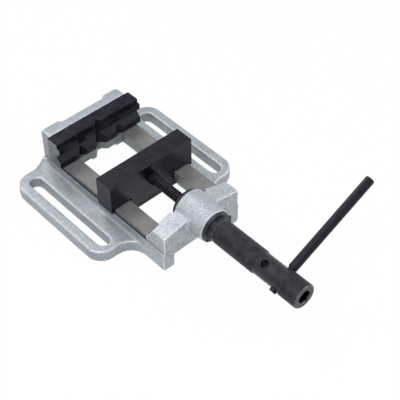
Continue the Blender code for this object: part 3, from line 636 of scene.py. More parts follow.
@dataclass(frozen=True)
class CastPaint:
    """Silver-grey hammered paint on a rough casting, with painted shade from the bridge rearwards, painted highlights
    on its edges and painted shade in its hollows.
    """

    light: Colour = chip(178, 184, 192)
    dark: Colour = chip(104, 110, 120)
    shaded: Colour = chip(164, 170, 178)
    bright: Colour = chip(236, 240, 245)
    # Colour of the painted shade in the casting's hollows
    hollow_shade: Colour = chip(98, 103, 112)
    # Colour and share of the painted shade from the bridge rearwards, and of more painted shade behind the wall's
    # front face
    painted_shade_colour: Colour = chip(120, 125, 132)
    painted_shade: float = 0.34
    painted_shade_reach: Pair = (-0.152, -0.138)
    wall_painted_shade: float = 0.20
    wall_shade_reach: Pair = (0.0, 0.006)
    speckle: float = 0.0011
    speckle_depth: float = 0.0005
    dark_speckles: Pair = (0.45, 0.7)
    dark_share: float = 0.8
    bright_speckles: Pair = (0.24, 0.4)
    bright_share: float = 0.5
    pit: float = 0.6
    pit_depth: float = 0.0002
    cloud: float = 0.014
    # Relief ranges and shares of the painted highlight on convex edges and of the painted shade in hollows
    edge_highlights: Pair = (0.15, 0.75)
    edge_highlight_share: float = 0.65
    shaded_hollows: Pair = (-0.15, -0.8)
    hollow_shade_share: float = 0.7
    gloss: Pair = (0.36, 0.56)

    def material(self) -> Material:
        """Build the material."""
        shade = Shade("hammered_paint", roughness=0.46, metallic=0.45)
        speckle = shade.grain(self.speckle, detail=3.0)
        cloud = shade.grain(self.cloud)
        relief = shade.attribute(RELIEF)
        broad = shade.mix(shade.spread(cloud, MIDDLE), self.light, self.shaded)
        skin = shade.mix(shade.spread(speckle, self.dark_speckles, (0.0, self.dark_share)), broad, self.dark)
        skin = shade.mix(shade.spread(speckle, self.bright_speckles, (self.bright_share, 0.0)), skin, self.bright)
        # Painted shade: the paint is darkened from the bridge rearwards and again behind the wall's front face
        painted_shade = shade.spread(shade.along("Y"), self.painted_shade_reach, (0.0, self.painted_shade))
        wall_shade = shade.spread(shade.along("Y"), self.wall_shade_reach, (0.0, self.wall_painted_shade))
        skin = shade.mix(shade.maths("ADD", painted_shade, wall_shade), skin, self.painted_shade_colour)
        # Painted highlight on convex edges and painted shade in hollows, read from the relief that mark_relief stores
        skin = shade.mix(shade.spread(relief, self.edge_highlights, (0.0, self.edge_highlight_share)), skin, self.bright)
        shade.paint(shade.mix(shade.spread(relief, self.shaded_hollows, (0.0, self.hollow_shade_share)), skin, self.hollow_shade))
        shade.rub(shade.spread(speckle, WIDE, self.gloss))
        pits = shade.grain(self.pit * self.speckle)
        shade.emboss((speckle, 0.6, self.speckle_depth), (pits, 0.35, self.pit_depth))
        return shade.material


@dataclass(frozen=True)
class GroundIron:
    """Ground iron with streaks along the vise and brownish clouds, and painted shade in a corner where it is asked
    for.
    """

    name: str = "ground_iron"
    light: Colour = chip(126, 125, 127)
    dark: Colour = chip(110, 109, 111)
    stain: Colour = chip(102, 98, 95)
    streak: float = 0.0005
    stretch: tuple[float, float, float] = (1.0, 40.0, 1.0)
    streak_depth: float = 0.0001
    cloud: float = 0.012
    stained: Pair = (0.48, 0.75)
    stain_share: float = 0.7
    gloss: Pair = (0.38, 0.54)
    metallic: float = 0.35
    corner_shade: Colour = chip(26, 25, 30)
    corner_shade_top: float = 0.0
    corner_shade_height: float = 0.0014
    corner_shade_share: float = 0.9

    def material(self) -> Material:
        """Build the material."""
        shade = Shade(self.name, roughness=0.45, metallic=self.metallic)
        streak = shade.grain(self.streak, self.stretch)
        cloud = shade.grain(self.cloud, detail=4.0)
        ground = shade.mix(shade.spread(streak, WIDE), self.dark, self.light)
        ground = shade.mix(shade.spread(cloud, self.stained, (0.0, self.stain_share)), ground, self.stain)
        # Painted shade: darker towards the bottom, in the corner just above the ledge
        if self.corner_shade_top > 0.0:
            reach = (self.corner_shade_top - self.corner_shade_height, self.corner_shade_top)
            share = shade.spread(shade.along("Z"), reach, (self.corner_shade_share, 0.0))
            ground = shade.mix(share, ground, self.corner_shade)
        shade.paint(ground)
        shade.rub(shade.spread(streak, WIDE, self.gloss))
        shade.emboss((streak, 0.3, self.streak_depth))
        return shade.material


@dataclass(frozen=True)
class DarkSteel:
    """Chemically darkened steel with fine machining lines and paler rubbed clouds."""

    name: str
    deep: Colour
    worn: Colour
    roughness: float = 0.42
    metallic: float = 0.0
    specular: float = 0.2
    tint: Colour = (0.82, 0.82, 1.0, 1.0)
    streak: float = 0.0006
    stretch: tuple[float, float, float] = (1.0, 1.0, 1.0)
    cloud: float = 0.009
    rubbed: Pair = (0.4, 0.75)
    wear: Pair = (0.1, 1.0)
    depth: float = 0.00006

    def material(self) -> Material:
        """Build the material."""
        shade = Shade(self.name, self.roughness, self.metallic)
        shade.shader.inputs["Specular IOR Level"].default_value = self.specular
        shade.shader.inputs["Specular Tint"].default_value = self.tint
        streak = shade.grain(self.streak, self.stretch)
        cloud = shade.grain(self.cloud, detail=3.0)
        share = shade.maths("MULTIPLY", shade.spread(cloud, self.rubbed, self.wear), streak)
        shade.paint(shade.mix(share, self.deep, self.worn))
        shade.rub(shade.spread(cloud, WIDE, (self.roughness - 0.07, self.roughness + 0.09)))
        shade.emboss((streak, 0.35, self.depth))
        return shade.material


@dataclass(frozen=True)
class TurnedSteel:
    """Darkened steel off the lathe, with rings about its axis."""

    name: str
    axis: Axis
    deep: Colour
    worn: Colour
    pitch: float = 0.0014
    roughness: float = 0.36
    specular: float = 0.4
    cloud: float = 0.006
    wear: Pair = (0.2, 1.0)
    depth: float = 0.00008

    def material(self) -> Material:
        """Build the material."""
        shade = Shade(self.name, self.roughness, 0.0)
        shade.shader.inputs["Specular IOR Level"].default_value = self.specular
        waves = shade.maths("MULTIPLY", shade.radius(self.axis), 2.0 * math.pi / self.pitch)
        rings = shade.spread(shade.maths("SINE", waves), (-1.0, 1.0))
        cloud = shade.grain(self.cloud, detail=3.0)
        share = shade.maths("MULTIPLY", rings, shade.spread(cloud, WIDE, self.wear))
        shade.paint(shade.mix(share, self.deep, self.worn))
        shade.rub(shade.spread(cloud, WIDE, (self.roughness - 0.06, self.roughness + 0.08)))
        shade.emboss((rings, 0.4, self.depth))
        return shade.material


@dataclass(frozen=True)
class WornThread:
    """Blackened thread whose crests the nut has rubbed bright."""

    axis: Axis
    root_radius: float
    crest_radius: float
    deep: Colour = chip(14, 14, 20)
    crest: Colour = chip(64, 64, 70)
    crest_share: float = 0.3
    smears: Pair = (0.35, 0.9)
    gloss: Pair = (0.5, 0.32)

    def material(self) -> Material:
        """Build the material."""
        shade = Shade("worn_thread", roughness=0.4, metallic=0.3)
        shade.shader.inputs["Specular IOR Level"].default_value = 0.2
        radius = shade.radius(self.axis)
        step = self.crest_radius - self.root_radius
        high = shade.spread(radius, (self.crest_radius - self.crest_share * step, self.crest_radius))
        smear = shade.spread(shade.grain(0.002, detail=3.0), WIDE, self.smears)
        shade.paint(shade.mix(shade.maths("MULTIPLY", high, smear), self.deep, self.crest))
        shade.rub(shade.spread(smear, self.smears, self.gloss))
        shade.emboss((shade.grain(0.0005), 0.3, 0.00005))
        return shade.material


@dataclass(frozen=True)
class ZincPlate:
    """Zinc-plated small parts."""

    light: Colour = chip(188, 190, 192)
    dark: Colour = chip(150, 150, 148)
    gloss: Pair = (0.28, 0.45)

    def material(self) -> Material:
        """Build the material."""
        shade = Shade("zinc_plate", roughness=0.35, metallic=0.9)
        cloud = shade.grain(0.0025, detail=3.0)
        shade.paint(shade.mix(shade.spread(cloud, MIDDLE), self.light, self.dark))
        shade.rub(shade.spread(cloud, WIDE, self.gloss))
        shade.emboss((shade.grain(0.0004), 0.25, 0.00004))
        return shade.material


# Places that the sub-assemblies share, read from the frame


@dataclass(frozen=True)
class Plan:
    """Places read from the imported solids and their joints, and sizes that several sub-assemblies share."""

    jaw_low: Vector
    jaw_high: Vector
    fixed_low: Vector
    fixed_high: Vector
    base_low: Vector
    base_high: Vector
    spindle_z: float
    lever_axis: Vector
    rail_span: float = 0.0503
    rail_width: float = 0.0198
    screw_x: float = 0.0400
    screw_drop: float = 0.0170
    counterbore_floor: float = 0.0065
    shank_length: float = 0.0180
    pin_setback: float = 0.0081

    @classmethod
    def read(cls) -> "Plan":
        """Read the boxes of the main solids and the axes of the joints."""
        joints = {joint["name"]: joint for joint in frame["joints"]}
        return cls(
            *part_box("movable_jaw"),
            *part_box("fixed_jaw"),
            *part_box("base_casting"),
            spindle_z=joints["sleeve_turn"]["pos_m"][2],
            lever_axis=Vector(joints["lever_slide"]["axis"]),
        )

    @property
    def rail_top(self) -> float:
        """Height of the rails, just under the fixed jaw."""
        return self.fixed_low.z - SEAT_GAP

    @property
    def rail_inner(self) -> float:
        """Distance of the rails' inner edges from the middle plane."""
        return self.rail_span - self.rail_width

    @property
    def pin_station(self) -> float:
        """Station of the pin that locks the lead screw in the movable jaw."""
        return self.jaw_low.y + self.pin_setback

    @property
    def spindle(self) -> Axis:
        """Axis of the sleeve and the lead screw, with stations equal to Y."""
        return Axis(Vector((0.0, 0.0, self.spindle_z)), REARWARD, ACROSS)

    def upright(self, x: float, y: float) -> Axis:
        """Vertical axis through a place, with stations equal to Z."""
        return Axis(Vector((x, y, 0.0)), UPWARD, ACROSS)

    def lengthwise(self, x: float, z: float) -> Axis:
        """Axis along the vise through a place, with stations equal to Y."""
        return Axis(Vector((x, 0.0, z)), REARWARD, ACROSS)

    def facing(self, degrees: float) -> Axis:
        """Axis of the spindle as seen from the rear, with stations equal to -Y and profiles at an angle from +X."""
        angle = math.radians(degrees)
        return Axis(self.spindle.origin, FRONTWARD, Vector((math.cos(angle), 0.0, math.sin(angle))))

    def jaw_screw(self, side: Side) -> Axis:
        """Axis of the fixed jaw's screw on one side, with stations equal to Y."""
        return self.lengthwise(side.value * self.screw_x, self.fixed_high.z - self.screw_drop)


def strip(side: Side, inner: float, outer: float) -> Pair:
    """Lowest and highest X of a strip between two distances from the middle plane, on one side of it."""
    return min(side.value * inner, side.value * outer), max(side.value * inner, side.value * outer)


# Sub-assemblies


@dataclass(frozen=True)
class CutFinishes:
    """Finishes of the faces that machining leaves on the casting."""

    ground: Material
    strip: Material
    milled: Material
    # Pale turned faces of the boss, partly a painted highlight
    turned: Material


@dataclass
class Casting:
    """Base casting: rough painted skin with ground rails, seat, bore and underside."""

    plan: Plan
    ledge_drop: float = 0.0052
    flange: float = 0.0120
    floor: float = 0.0090
    notch: float = 0.0078
    bridge_foot: float = -0.1530
    boss_radius: float = 0.0186
    boss_length: float = 0.0385
    boss_edge: float = 0.0007
    bore_radius: float = 0.0141
    boss_rear_radius: float = 0.0203
    root_fillet: float = 0.0050
    root_start: float = 158.0
    corner_slope: Points = (
        (0.0053, 0.0),
        (0.0063, -0.0017),
        (0.0078, -0.0036),
        (0.0098, -0.0055),
        (0.0120, -0.0074),
        (0.0138, -0.0090),
        (0.0152, -0.0100),
        (0.0170, -0.0107),
        (0.0170, -0.0120),
    )
    pocket_radius: float = 0.0245
    pocket_step: float = 0.0020
    pocket_depth: float = 0.0270
    bridge_front: float = -0.1797
    groove_height: float = 0.0007
    groove_depth: float = 0.0003
    counterbore_radius: float = 0.0071
    screw_hole_radius: float = 0.0043
    allowance: float = 0.0010
    edge_break: float = 0.0004
    voxel: float = 0.0008
    smoothing: int = 4
    skin_depth: float = 0.00016
    skin_size: float = 0.0030
    thinning: float = 0.5
    relief_gain: float = 5.0

    def build(self, paint: Material, cuts: CutFinishes) -> Object:
        """Cast, clean and machine the base.

        Args:
            paint: Finish of the cast skin.
            cuts: Finishes of the machined faces.

        Returns:
            The finished casting.
        """
        body = dress(self.cast(), paint)
        combine(body, self.machining(cuts), Action.CUT)
        self.mark_relief(body)
        return seat(body, "base", "cast_paint", "base_casting", degrees=34.0)

    def mark_relief(self, body: Object) -> None:
        """Store how far each vertex stands proud of its neighbours, for painted highlights on edges and painted shade
        in hollows.

        Args:
            body: Machined casting.
        """
        bm = bmesh.new()
        bm.from_mesh(body.data)
        raw = []
        for vertex in bm.verts:
            leans = [
                vertex.normal.dot(vertex.co - edge.other_vert(vertex).co) / max(edge.calc_length(), WELD)
                for edge in vertex.link_edges
            ]
            raw.append(self.relief_gain * sum(leans) / max(len(leans), 1))
        bm.verts.ensure_lookup_table()
        soft = []
        for vertex in bm.verts:
            ring = [raw[edge.other_vert(vertex).index] for edge in vertex.link_edges]
            soft.append(0.5 * raw[vertex.index] + 0.5 * sum(ring) / max(len(ring), 1))
        bm.free()
        layer = body.data.attributes.new(RELIEF, "FLOAT", "POINT")
        layer.data.foreach_set("value", soft)

    def rough(self) -> Object:
        """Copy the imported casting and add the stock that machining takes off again."""
        source = frame["nodes"]["base_casting"]
        body = bpy.data.objects.new("cast_body", source.data.copy())
        bpy.context.scene.collection.objects.link(body)
        tidy_mesh(body)
        with editing(body):
            choose(body, lambda vertex: vertex.co.z < NEAR)
            bpy.ops.transform.translate(value=(0.0, 0.0, -self.allowance))
        return gather([body, *self.stock()])

    def stock(self) -> list[Object]:
        """Model the stock on the rails, seat, floor, boss and screw lugs."""
        plan = self.plan
        extra = self.allowance
        top = plan.rail_top
        inner, span = plan.rail_inner, plan.rail_span
        face = plan.fixed_low.y
        boss_front = plan.base_low.y
        boss_rear = boss_front + self.boss_length
        low_flange = top - self.flange
        pieces = [
            block("floor", (-inner, face - extra, top - self.floor), (inner, -extra, top + extra)),
            block("seat", (-span, -extra, top), (span, extra, plan.fixed_high.z)),
            rod("boss_stock", plan.spindle, self.boss_radius, boss_front - extra, boss_rear + extra),
            self.boss_root(),
        ]
        for side in Side:
            left, right = strip(side, inner - extra, span + extra)
            pieces.append(block("rail", (left, self.bridge_foot, top - self.ledge_drop), (right, 0.0, top + extra)))
            left, right = strip(side, inner - extra, inner + extra)
            pieces.append(block("lip", (left, self.bridge_foot, low_flange), (right, face, top)))
            radius = self.counterbore_radius + extra
            pieces.append(rod("lug", plan.jaw_screw(side), radius, extra, self.lug_rear() - 0.5 * extra))
            pieces.append(self.corner_root(side))
        return pieces

    def corner_root(self, side: Side) -> Object:
        """Turn the quarter of a bell that runs from the foot of the wall down to the ear.

        Args:
            side: Side that it is on.

        Returns:
            Stock for that corner.
        """
        ledge = self.plan.rail_top - self.ledge_drop
        origin = Vector((side.value * self.plan.rail_span, self.lug_rear(), 0.0))
        across = Vector((-1.0, 0.0, 0.0)) if side is Side.LEFT else FRONTWARD
        profile = [(radius, ledge + drop) for radius, drop in self.corner_slope]
        low = profile[-1][1]
        profile += [(self.allowance, low), (self.allowance, ledge), profile[0]]
        return turned("corner_root", Axis(origin, UPWARD, across), profile, steps=24, sweep=90.0)

    def boss_root(self) -> Object:
        """Turn the fillet between the bridge's front and the boss, up to the tops of the arms."""
        reach = self.boss_radius + self.root_fillet
        front = self.bridge_front - self.root_fillet
        inside = self.boss_radius - self.allowance
        rear = -self.bridge_front - self.allowance
        profile = [(inside, rear), (reach, rear)]
        profile += arc((reach, -front), self.root_fillet, 270.0, 180.0, steps=8)
        profile += [(inside, -front), (inside, rear)]
        sweep = 1.5 * FULL_TURN - 2.0 * self.root_start
        return turned("boss_root", self.plan.facing(self.root_start), profile, steps=72, sweep=sweep)

    def lug_rear(self) -> float:
        """Station of the back of the screw lugs."""
        return self.plan.base_high.y - self.allowance

    def cast(self) -> Object:
        """Give the rough shape its cast skin with round edges and fillets."""
        body = self.rough()
        apply_modifier(body, "REMESH", mode="VOXEL", voxel_size=self.voxel)
        apply_modifier(body, "SMOOTH", factor=0.5, iterations=self.smoothing)
        skin = bpy.data.textures.new("sand_skin", "CLOUDS")
        skin.noise_scale = self.skin_size
        settings = {"texture": skin, "strength": self.skin_depth, "mid_level": 0.5, "texture_coords": "LOCAL"}
        apply_modifier(body, "DISPLACE", **settings)
        apply_modifier(body, "DECIMATE", decimate_type="COLLAPSE", ratio=self.thinning)
        return body

    def machining(self, cuts: CutFinishes) -> Object:
        """Model all that milling, grinding and boring take away, as one tool.

        Args:
            cuts: Finishes of the faces that it leaves.

        Returns:
            The tool, dressed in those finishes.
        """
        tool = dress(self.rail_tool(), cuts.ground, cuts.strip)
        beside = self.plan.rail_span - self.edge_break - NEAR
        for face in tool.data.polygons:
            face.material_index = int(abs(face.center.x) > beside)
        others = [
            (self.gap_tool(), cuts.milled),
            (self.underside_tool(), cuts.ground),
            (self.boss_tool(), cuts.turned),
            (self.pocket_tool(), cuts.milled),
        ]
        for side in Side:
            # The ledge groove takes the strip finish, whose painted shade turns it into a dark line
            others += [(self.counterbore_tool(side), cuts.milled), (self.ledge_tool(side), cuts.strip)]
        for other, finish in others:
            combine(tool, dress(other, finish), Action.ADD)
        return tool

    def rail_tool(self) -> Object:
        """Cutter over the rails: their tops, broken edges, outer strips and the jaw's seat."""
        top = self.plan.rail_top
        edge = self.edge_break
        span = self.plan.rail_span
        clear = span + 6.0 * self.allowance
        ceiling = self.plan.fixed_high.z + 4.0 * self.allowance
        half = [
            (0.0, top),
            (span - edge, top),
            (span, top - edge),
            (span, top - self.ledge_drop),
            (clear, top - self.ledge_drop),
            (clear, ceiling),
            (0.0, ceiling),
        ]
        outline = [Vector((x, self.bridge_foot, z)) for x, z in mirrored(half)]
        return prism("rail_tool", outline, Vector((0.0, -self.bridge_foot, 0.0)))

    def gap_tool(self) -> Object:
        """Cutter for the opening between the rails, with the notch that goes on from the jaw's groove."""
        inner = self.plan.rail_inner
        face = self.plan.fixed_low.y
        front = self.bridge_foot + 1.5 * self.allowance
        low = self.plan.rail_top - self.flange - self.allowance
        half = [(0.0, face + self.notch), (self.notch, face), (inner, face), (inner, front), (0.0, front)]
        outline = [Vector((x, y, low)) for x, y in mirrored(half)]
        return prism("gap_tool", outline, Vector((0.0, 0.0, self.flange + 4.0 * self.allowance)))

    def underside_tool(self) -> Object:
        """Cutter that faces the underside."""
        margin = 0.02
        low = self.plan.base_low
        high = self.plan.base_high
        return block(
            "underside_tool",
            (low.x - margin, low.y - margin, -3.0 * self.allowance),
            (high.x + margin, high.y + margin, 0.0),
        )

    def boss_tool(self) -> Object:
        """Cutter that faces the boss, breaks its edge and bores it."""
        front = self.plan.base_low.y
        rear = front + self.boss_length
        clear = self.boss_radius + 2.0 * self.allowance
        slope = self.boss_edge + clear - self.boss_radius
        profile = [
            (0.0, rear + self.allowance),
            (self.bore_radius, rear + self.allowance),
            (self.bore_radius, front),
            (self.boss_radius - self.boss_edge, front),
            (clear, front + slope),
            (clear, front - 3.0 * self.allowance),
            (0.0, front - 3.0 * self.allowance),
        ]
        return turned("boss_tool", self.plan.spindle, profile, steps=96)

    def pocket_tool(self) -> Object:
        """Cutter for the pocket behind the boss, where the thrust disc runs; it clears the arms around the boss."""
        rear = self.plan.base_low.y + self.boss_length
        face = (self.boss_rear_radius, rear - self.pocket_step)
        pocket = (self.pocket_radius, rear + self.pocket_depth)
        return stepped("pocket_tool", self.plan.spindle, rear, face, pocket, steps=96)

    def ledge_tool(self, side: Side) -> Object:
        """Cutter for the thin groove that carries the side strip's ledge on to the front.

        Args:
            side: Side of the vise.

        Returns:
            Block beside the bridge.
        """
        span = self.plan.rail_span
        left, right = strip(side, span - self.groove_depth, span + 4.0 * self.allowance)
        ledge = self.plan.rail_top - self.ledge_drop
        low = (left, self.bridge_front - 2.0 * self.allowance, ledge)
        return block("ledge_tool", low, (right, self.bridge_foot + self.allowance, ledge + self.groove_height))

    def counterbore_tool(self, side: Side) -> Object:
        """Cutter for one jaw screw's hole and counterbore.

        Args:
            side: Side of the vise.

        Returns:
            Stepped cutter from the seat to past the back of the lug.
        """
        hole = (self.screw_hole_radius, self.plan.counterbore_floor)
        mouth = (self.counterbore_radius, self.plan.base_high.y + 2.0 * self.allowance)
        return stepped("counterbore_tool", self.plan.jaw_screw(side), -self.allowance, hole, mouth, steps=48)


@dataclass
class CapScrew:
    """Socket head cap screw, turned and given its hexagon."""

    name: str
    axis: Axis
    thread: float
    length: float
    under_head: float
    towards_tip: float
    head_share: float = 0.8125
    hexagon_share: float = 0.75
    socket_share: float = 0.55
    edge_highlight_share: float = 0.08
    steps: int = 48

    def build(self, finish: Material) -> Object:
        """Turn the screw and sink its hexagon.

        Args:
            finish: Finish of the screw.

        Returns:
            Screw without its seat in the frame.
        """
        thread = self.thread
        edge = self.edge_highlight_share * thread
        head = self.head_share * thread
        profile = [
            (0.0, -thread),
            (head - edge, -thread),
            (head, edge - thread),
            (head, 0.0),
            (0.5 * thread, 0.0),
            (0.5 * thread, self.length - edge),
            (0.5 * thread - edge, self.length),
            (0.0, self.length),
        ]
        stations = [(radius, self.under_head + self.towards_tip * way) for radius, way in profile]
        screw = turned(self.name, self.axis, stations, self.steps)
        combine(screw, self.hexagon(), Action.CUT)
        return dress(screw, finish)

    def hexagon(self) -> Object:
        """Cutter for the hexagon socket in the head."""
        outer = self.under_head - self.towards_tip * (self.thread + SEAT_GAP)
        floor = self.under_head - self.towards_tip * self.thread * (1.0 - self.socket_share)
        radius = self.hexagon_share * self.thread / math.sqrt(3.0)
        return rod("hexagon", self.axis, radius, outer, floor, HEXAGON)


@dataclass
class PrismJaw:
    """Fixed jaw with one long prism groove, three upright ones, and its screws."""

    plan: Plan
    step_depth: float = 0.0036
    step_height: float = 0.0048
    long_depth: float = 0.0062
    long_drop: float = 0.0178
    main_depth: float = 0.0078
    side_depth: float = 0.0050
    side_x: float = 0.0255
    foot_step: float = 0.0012
    edge: float = 0.00028
    screw_thread: float = 0.0080
    screw_length: float = 0.0160
    washer_thickness: float = 0.0020
    washer_radius: float = 0.0064
    washer_gap_degrees: float = 12.0

    def build(self, black: Material, bare: Material) -> Object:
        """Plane the jaw's grooves and break its edges.

        Args:
            black: Finish of the jaw.
            bare: Finish of its two sawn ends.

        Returns:
            The finished jaw.
        """
        low = self.plan.fixed_low
        high = self.plan.fixed_high
        jaw = prism("prism_jaw", self.section(), Vector((high.x - low.x, 0.0, 0.0)))
        cuts = [(0.0, self.main_depth), (-self.side_x, self.side_depth), (self.side_x, self.side_depth)]
        for x, depth in cuts:
            combine(jaw, self.upright_groove(x, depth), Action.CUT)
        for side in Side:
            ends = (self.screw_tip() - SEAT_GAP, SEAT_GAP)
            combine(jaw, rod("tapped_hole", self.plan.jaw_screw(side), self.screw_hole(), *ends), Action.CUT)
        soften(jaw, self.edge)
        dress(jaw, black, bare)
        end = high.x - NEAR
        for face in jaw.data.polygons:
            if abs(face.center.x) > end:
                face.material_index = 1
        return seat(jaw, "base", "black_steel", "fixed_jaw")

    def section(self) -> list[Vector]:
        """Work out the outline of the jaw's left end."""
        low = self.plan.fixed_low
        high = self.plan.fixed_high
        face = low.y
        groove = high.z - self.long_drop
        step = high.z - self.step_height
        corners = [
            (high.y, low.z),
            (face + self.foot_step, low.z),
            (face, low.z + self.foot_step),
            (face, groove - self.long_depth),
            (face + self.long_depth, groove),
            (face, groove + self.long_depth),
            (face, step),
            (face + self.step_depth, step),
            (face + self.step_depth, high.z),
            (high.y, high.z),
        ]
        return [Vector((low.x, y, z)) for y, z in corners]

    def upright_groove(self, x: float, depth: float) -> Object:
        """Cutter for one upright groove.

        Args:
            x: Place of the groove along the jaw.
            depth: Depth of the groove.

        Returns:
            V-shaped cutter.
        """
        face = self.plan.fixed_low.y
        mouth = depth + self.foot_step
        low = self.plan.fixed_low.z - SEAT_GAP
        corners = [(x, face + depth), (x + mouth, face - self.foot_step), (x - mouth, face - self.foot_step)]
        travel = self.plan.fixed_high.z - low + SEAT_GAP
        return prism("groove", [Vector((a, b, low)) for a, b in corners], Vector((0.0, 0.0, travel)))

    def screw_hole(self) -> float:
        """Radius of a hole that clears a jaw screw."""
        return 0.5 * self.screw_thread + SEAT_GAP

    def screw_seat(self) -> float:
        """Station under the head of a jaw screw."""
        return self.plan.counterbore_floor + self.washer_thickness + 2.0 * SEAT_GAP

    def screw_tip(self) -> float:
        """Station of the tip of a jaw screw."""
        return self.screw_seat() - self.screw_length

    def fasteners(self, black: Material, zinc: Material) -> list[Object]:
        """Make the two cap screws and their split washers.

        Args:
            black: Finish of the screws.
            zinc: Finish of the washers.

        Returns:
            The four pieces.
        """
        pieces = []
        for side in Side:
            label = side.name.lower()
            axis = self.plan.jaw_screw(side)
            sizes = (self.screw_thread, self.screw_length, self.screw_seat())
            screw = CapScrew(f"jaw_cap_screw_{label}", axis, *sizes, towards_tip=-1.0).build(black)
            pieces.append(seat(screw, "base", "black_steel", f"fixed_jaw_screw_{label}"))
            low = self.plan.counterbore_floor + SEAT_GAP
            radii = (self.screw_hole(), self.washer_radius)
            sweep = FULL_TURN - self.washer_gap_degrees
            washer = hoop(f"split_washer_{label}", axis, radii, (low, low + self.washer_thickness), 48, sweep)
            dress(soften(washer, 0.2 * self.washer_thickness), zinc)
            pieces.append(seat(washer, "base", "zinc_steel", f"fixed_jaw_washer_{label}"))
        return pieces


@dataclass
class SlidingJaw:
    """Movable jaw, the keeper under the rails and what holds them to each other and to the screw."""

    plan: Plan
    cheek_drop: float = 0.0036
    relief: float = 0.0019
    edge: float = 0.0005
    shank_radius: float = 0.0053
    pin_radius: float = 0.0017
    pin_recess: float = 0.0008
    pin_bottom: float = 0.0043
    keeper_head: float = 0.00436
    keeper_thread: float = 0.0050
    keeper_length: float = 0.0120
    keeper_sink: float = 0.0005
    keeper_x: float = 0.0200
    keeper_pitch: float = 0.0110

    @property
    def middle(self) -> float:
        """Station halfway through the jaw."""
        return 0.5 * (self.plan.jaw_low.y + self.plan.jaw_high.y)

    @property
    def tongue(self) -> float:
        """Half the width of the tongue between the rails."""
        return self.plan.rail_inner - SEAT_GAP

    def screw_places(self) -> list[Pair]:
        """List where the four keeper screws stand, in the order of their solids."""
        half = 0.5 * self.keeper_pitch
        return [(sx * self.keeper_x, self.middle + sy * half) for sy in (-1, 1) for sx in (-1, 1)]

    def build(self, *finishes: Material) -> Object:
        """Mill the jaw block and drill it.

        Args:
            finishes: Finishes of its front and back, its shaded top, its lit ends and its shaded reliefs.

        Returns:
            The finished jaw.
        """
        low = self.plan.jaw_low
        high = self.plan.jaw_high
        outline = [Vector((x, low.y, z)) for x, z in self.section()]
        jaw = prism("sliding_jaw", outline, Vector((0.0, high.y - low.y, 0.0)))
        soften(jaw, self.edge, segments=3)
        mouth = self.shank_radius + self.edge
        stop = low.y + self.plan.shank_length + SEAT_GAP
        profile = [(0.0, low.y - SEAT_GAP), (mouth, low.y - SEAT_GAP), (self.shank_radius, low.y + self.edge)]
        profile += [(self.shank_radius, stop), (0.0, stop)]
        combine(jaw, turned("shank_hole", self.plan.spindle, profile, steps=48), Action.CUT)
        radius = self.pin_radius + SEAT_GAP
        top = high.z + SEAT_GAP
        countersink = 2.0 * SEAT_GAP
        profile = [(0.0, top), (radius + countersink, top), (radius, top - countersink)]
        profile += [(radius, self.plan.spindle_z), (0.0, self.plan.spindle_z)]
        pin_axis = self.plan.upright(0.0, self.plan.pin_station)
        combine(jaw, turned("pin_hole", pin_axis, profile, steps=32), Action.CUT)
        tip = self.screw_seat() + self.keeper_length + SEAT_GAP
        for x, y in self.screw_places():
            hole = rod("keeper_hole", self.plan.upright(x, y), self.screw_hole(), 0.0, tip, steps=32)
            combine(jaw, hole, Action.CUT)
        dress(jaw, *finishes)
        # Painted light by face direction: a shaded copy for the top, a paler lit copy for the ends, near-black painted
        # shade in the reliefs
        for face in jaw.data.polygons:
            face.material_index = self.finish_index(face.center, face.normal)
        return seat(jaw, "jaw", "black_steel", "movable_jaw")

    def finish_index(self, centre: Vector, normal: Vector) -> int:
        """Choose the finish of one face of the jaw.

        Args:
            centre: Centre of the face.
            normal: Way that it looks.

        Returns:
            Index of the finish of the front, the shaded top, the lit ends or the shaded reliefs.
        """
        corner = Vector((self.tongue, self.plan.rail_top + SEAT_GAP))
        if (Vector((abs(centre.x), centre.z)) - corner).length < 1.05 * self.relief:
            return 3
        if normal.z > 0.9 and centre.z > self.plan.jaw_high.z - self.edge:
            return 1
        return 2 if abs(normal.x) > 0.9 and abs(centre.x) > self.plan.jaw_high.x - self.edge else 0

    def section(self) -> list[Pair]:
        """Work out the outline of the block, its cheeks and its tongue."""
        low = self.plan.jaw_low
        high = self.plan.jaw_high
        seat_z = self.plan.rail_top + SEAT_GAP
        cheek_z = self.plan.rail_top - self.cheek_drop
        cheek = self.plan.rail_span + SEAT_GAP
        half = [(0.0, high.z), (high.x, high.z), (high.x, cheek_z), (cheek, cheek_z), (cheek, seat_z)]
        half += arc((self.tongue, seat_z), self.relief, 0.0, 270.0, steps=12)
        half += [(self.tongue, low.z), (0.0, low.z)]
        return mirrored(half)

    def screw_hole(self) -> float:
        """Radius of a hole that clears a keeper screw."""
        return 0.5 * self.keeper_thread + SEAT_GAP

    def screw_seat(self) -> float:
        """Height under the heads of the keeper screws."""
        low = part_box("jaw_keeper")[0].z
        return low + self.keeper_thread + self.keeper_sink - SEAT_GAP

    def keeper(self, black: Material) -> Object:
        """Mill the keeper plate and its counterbores.

        Args:
            black: Finish of the plate.

        Returns:
            The finished plate.
        """
        low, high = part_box("jaw_keeper")
        plate = soften(block("keeper_plate", low, high), self.edge, segments=3)
        hole = (self.screw_hole(), self.screw_seat() + SEAT_GAP)
        head = (self.keeper_head, low.z - SEAT_GAP)
        for x, y in self.screw_places():
            cutter = stepped("counterbore", self.plan.upright(x, y), high.z + SEAT_GAP, hole, head, steps=32)
            combine(plate, cutter, Action.CUT)
        return seat(dress(plate, black), "jaw", "black_steel", "jaw_keeper")

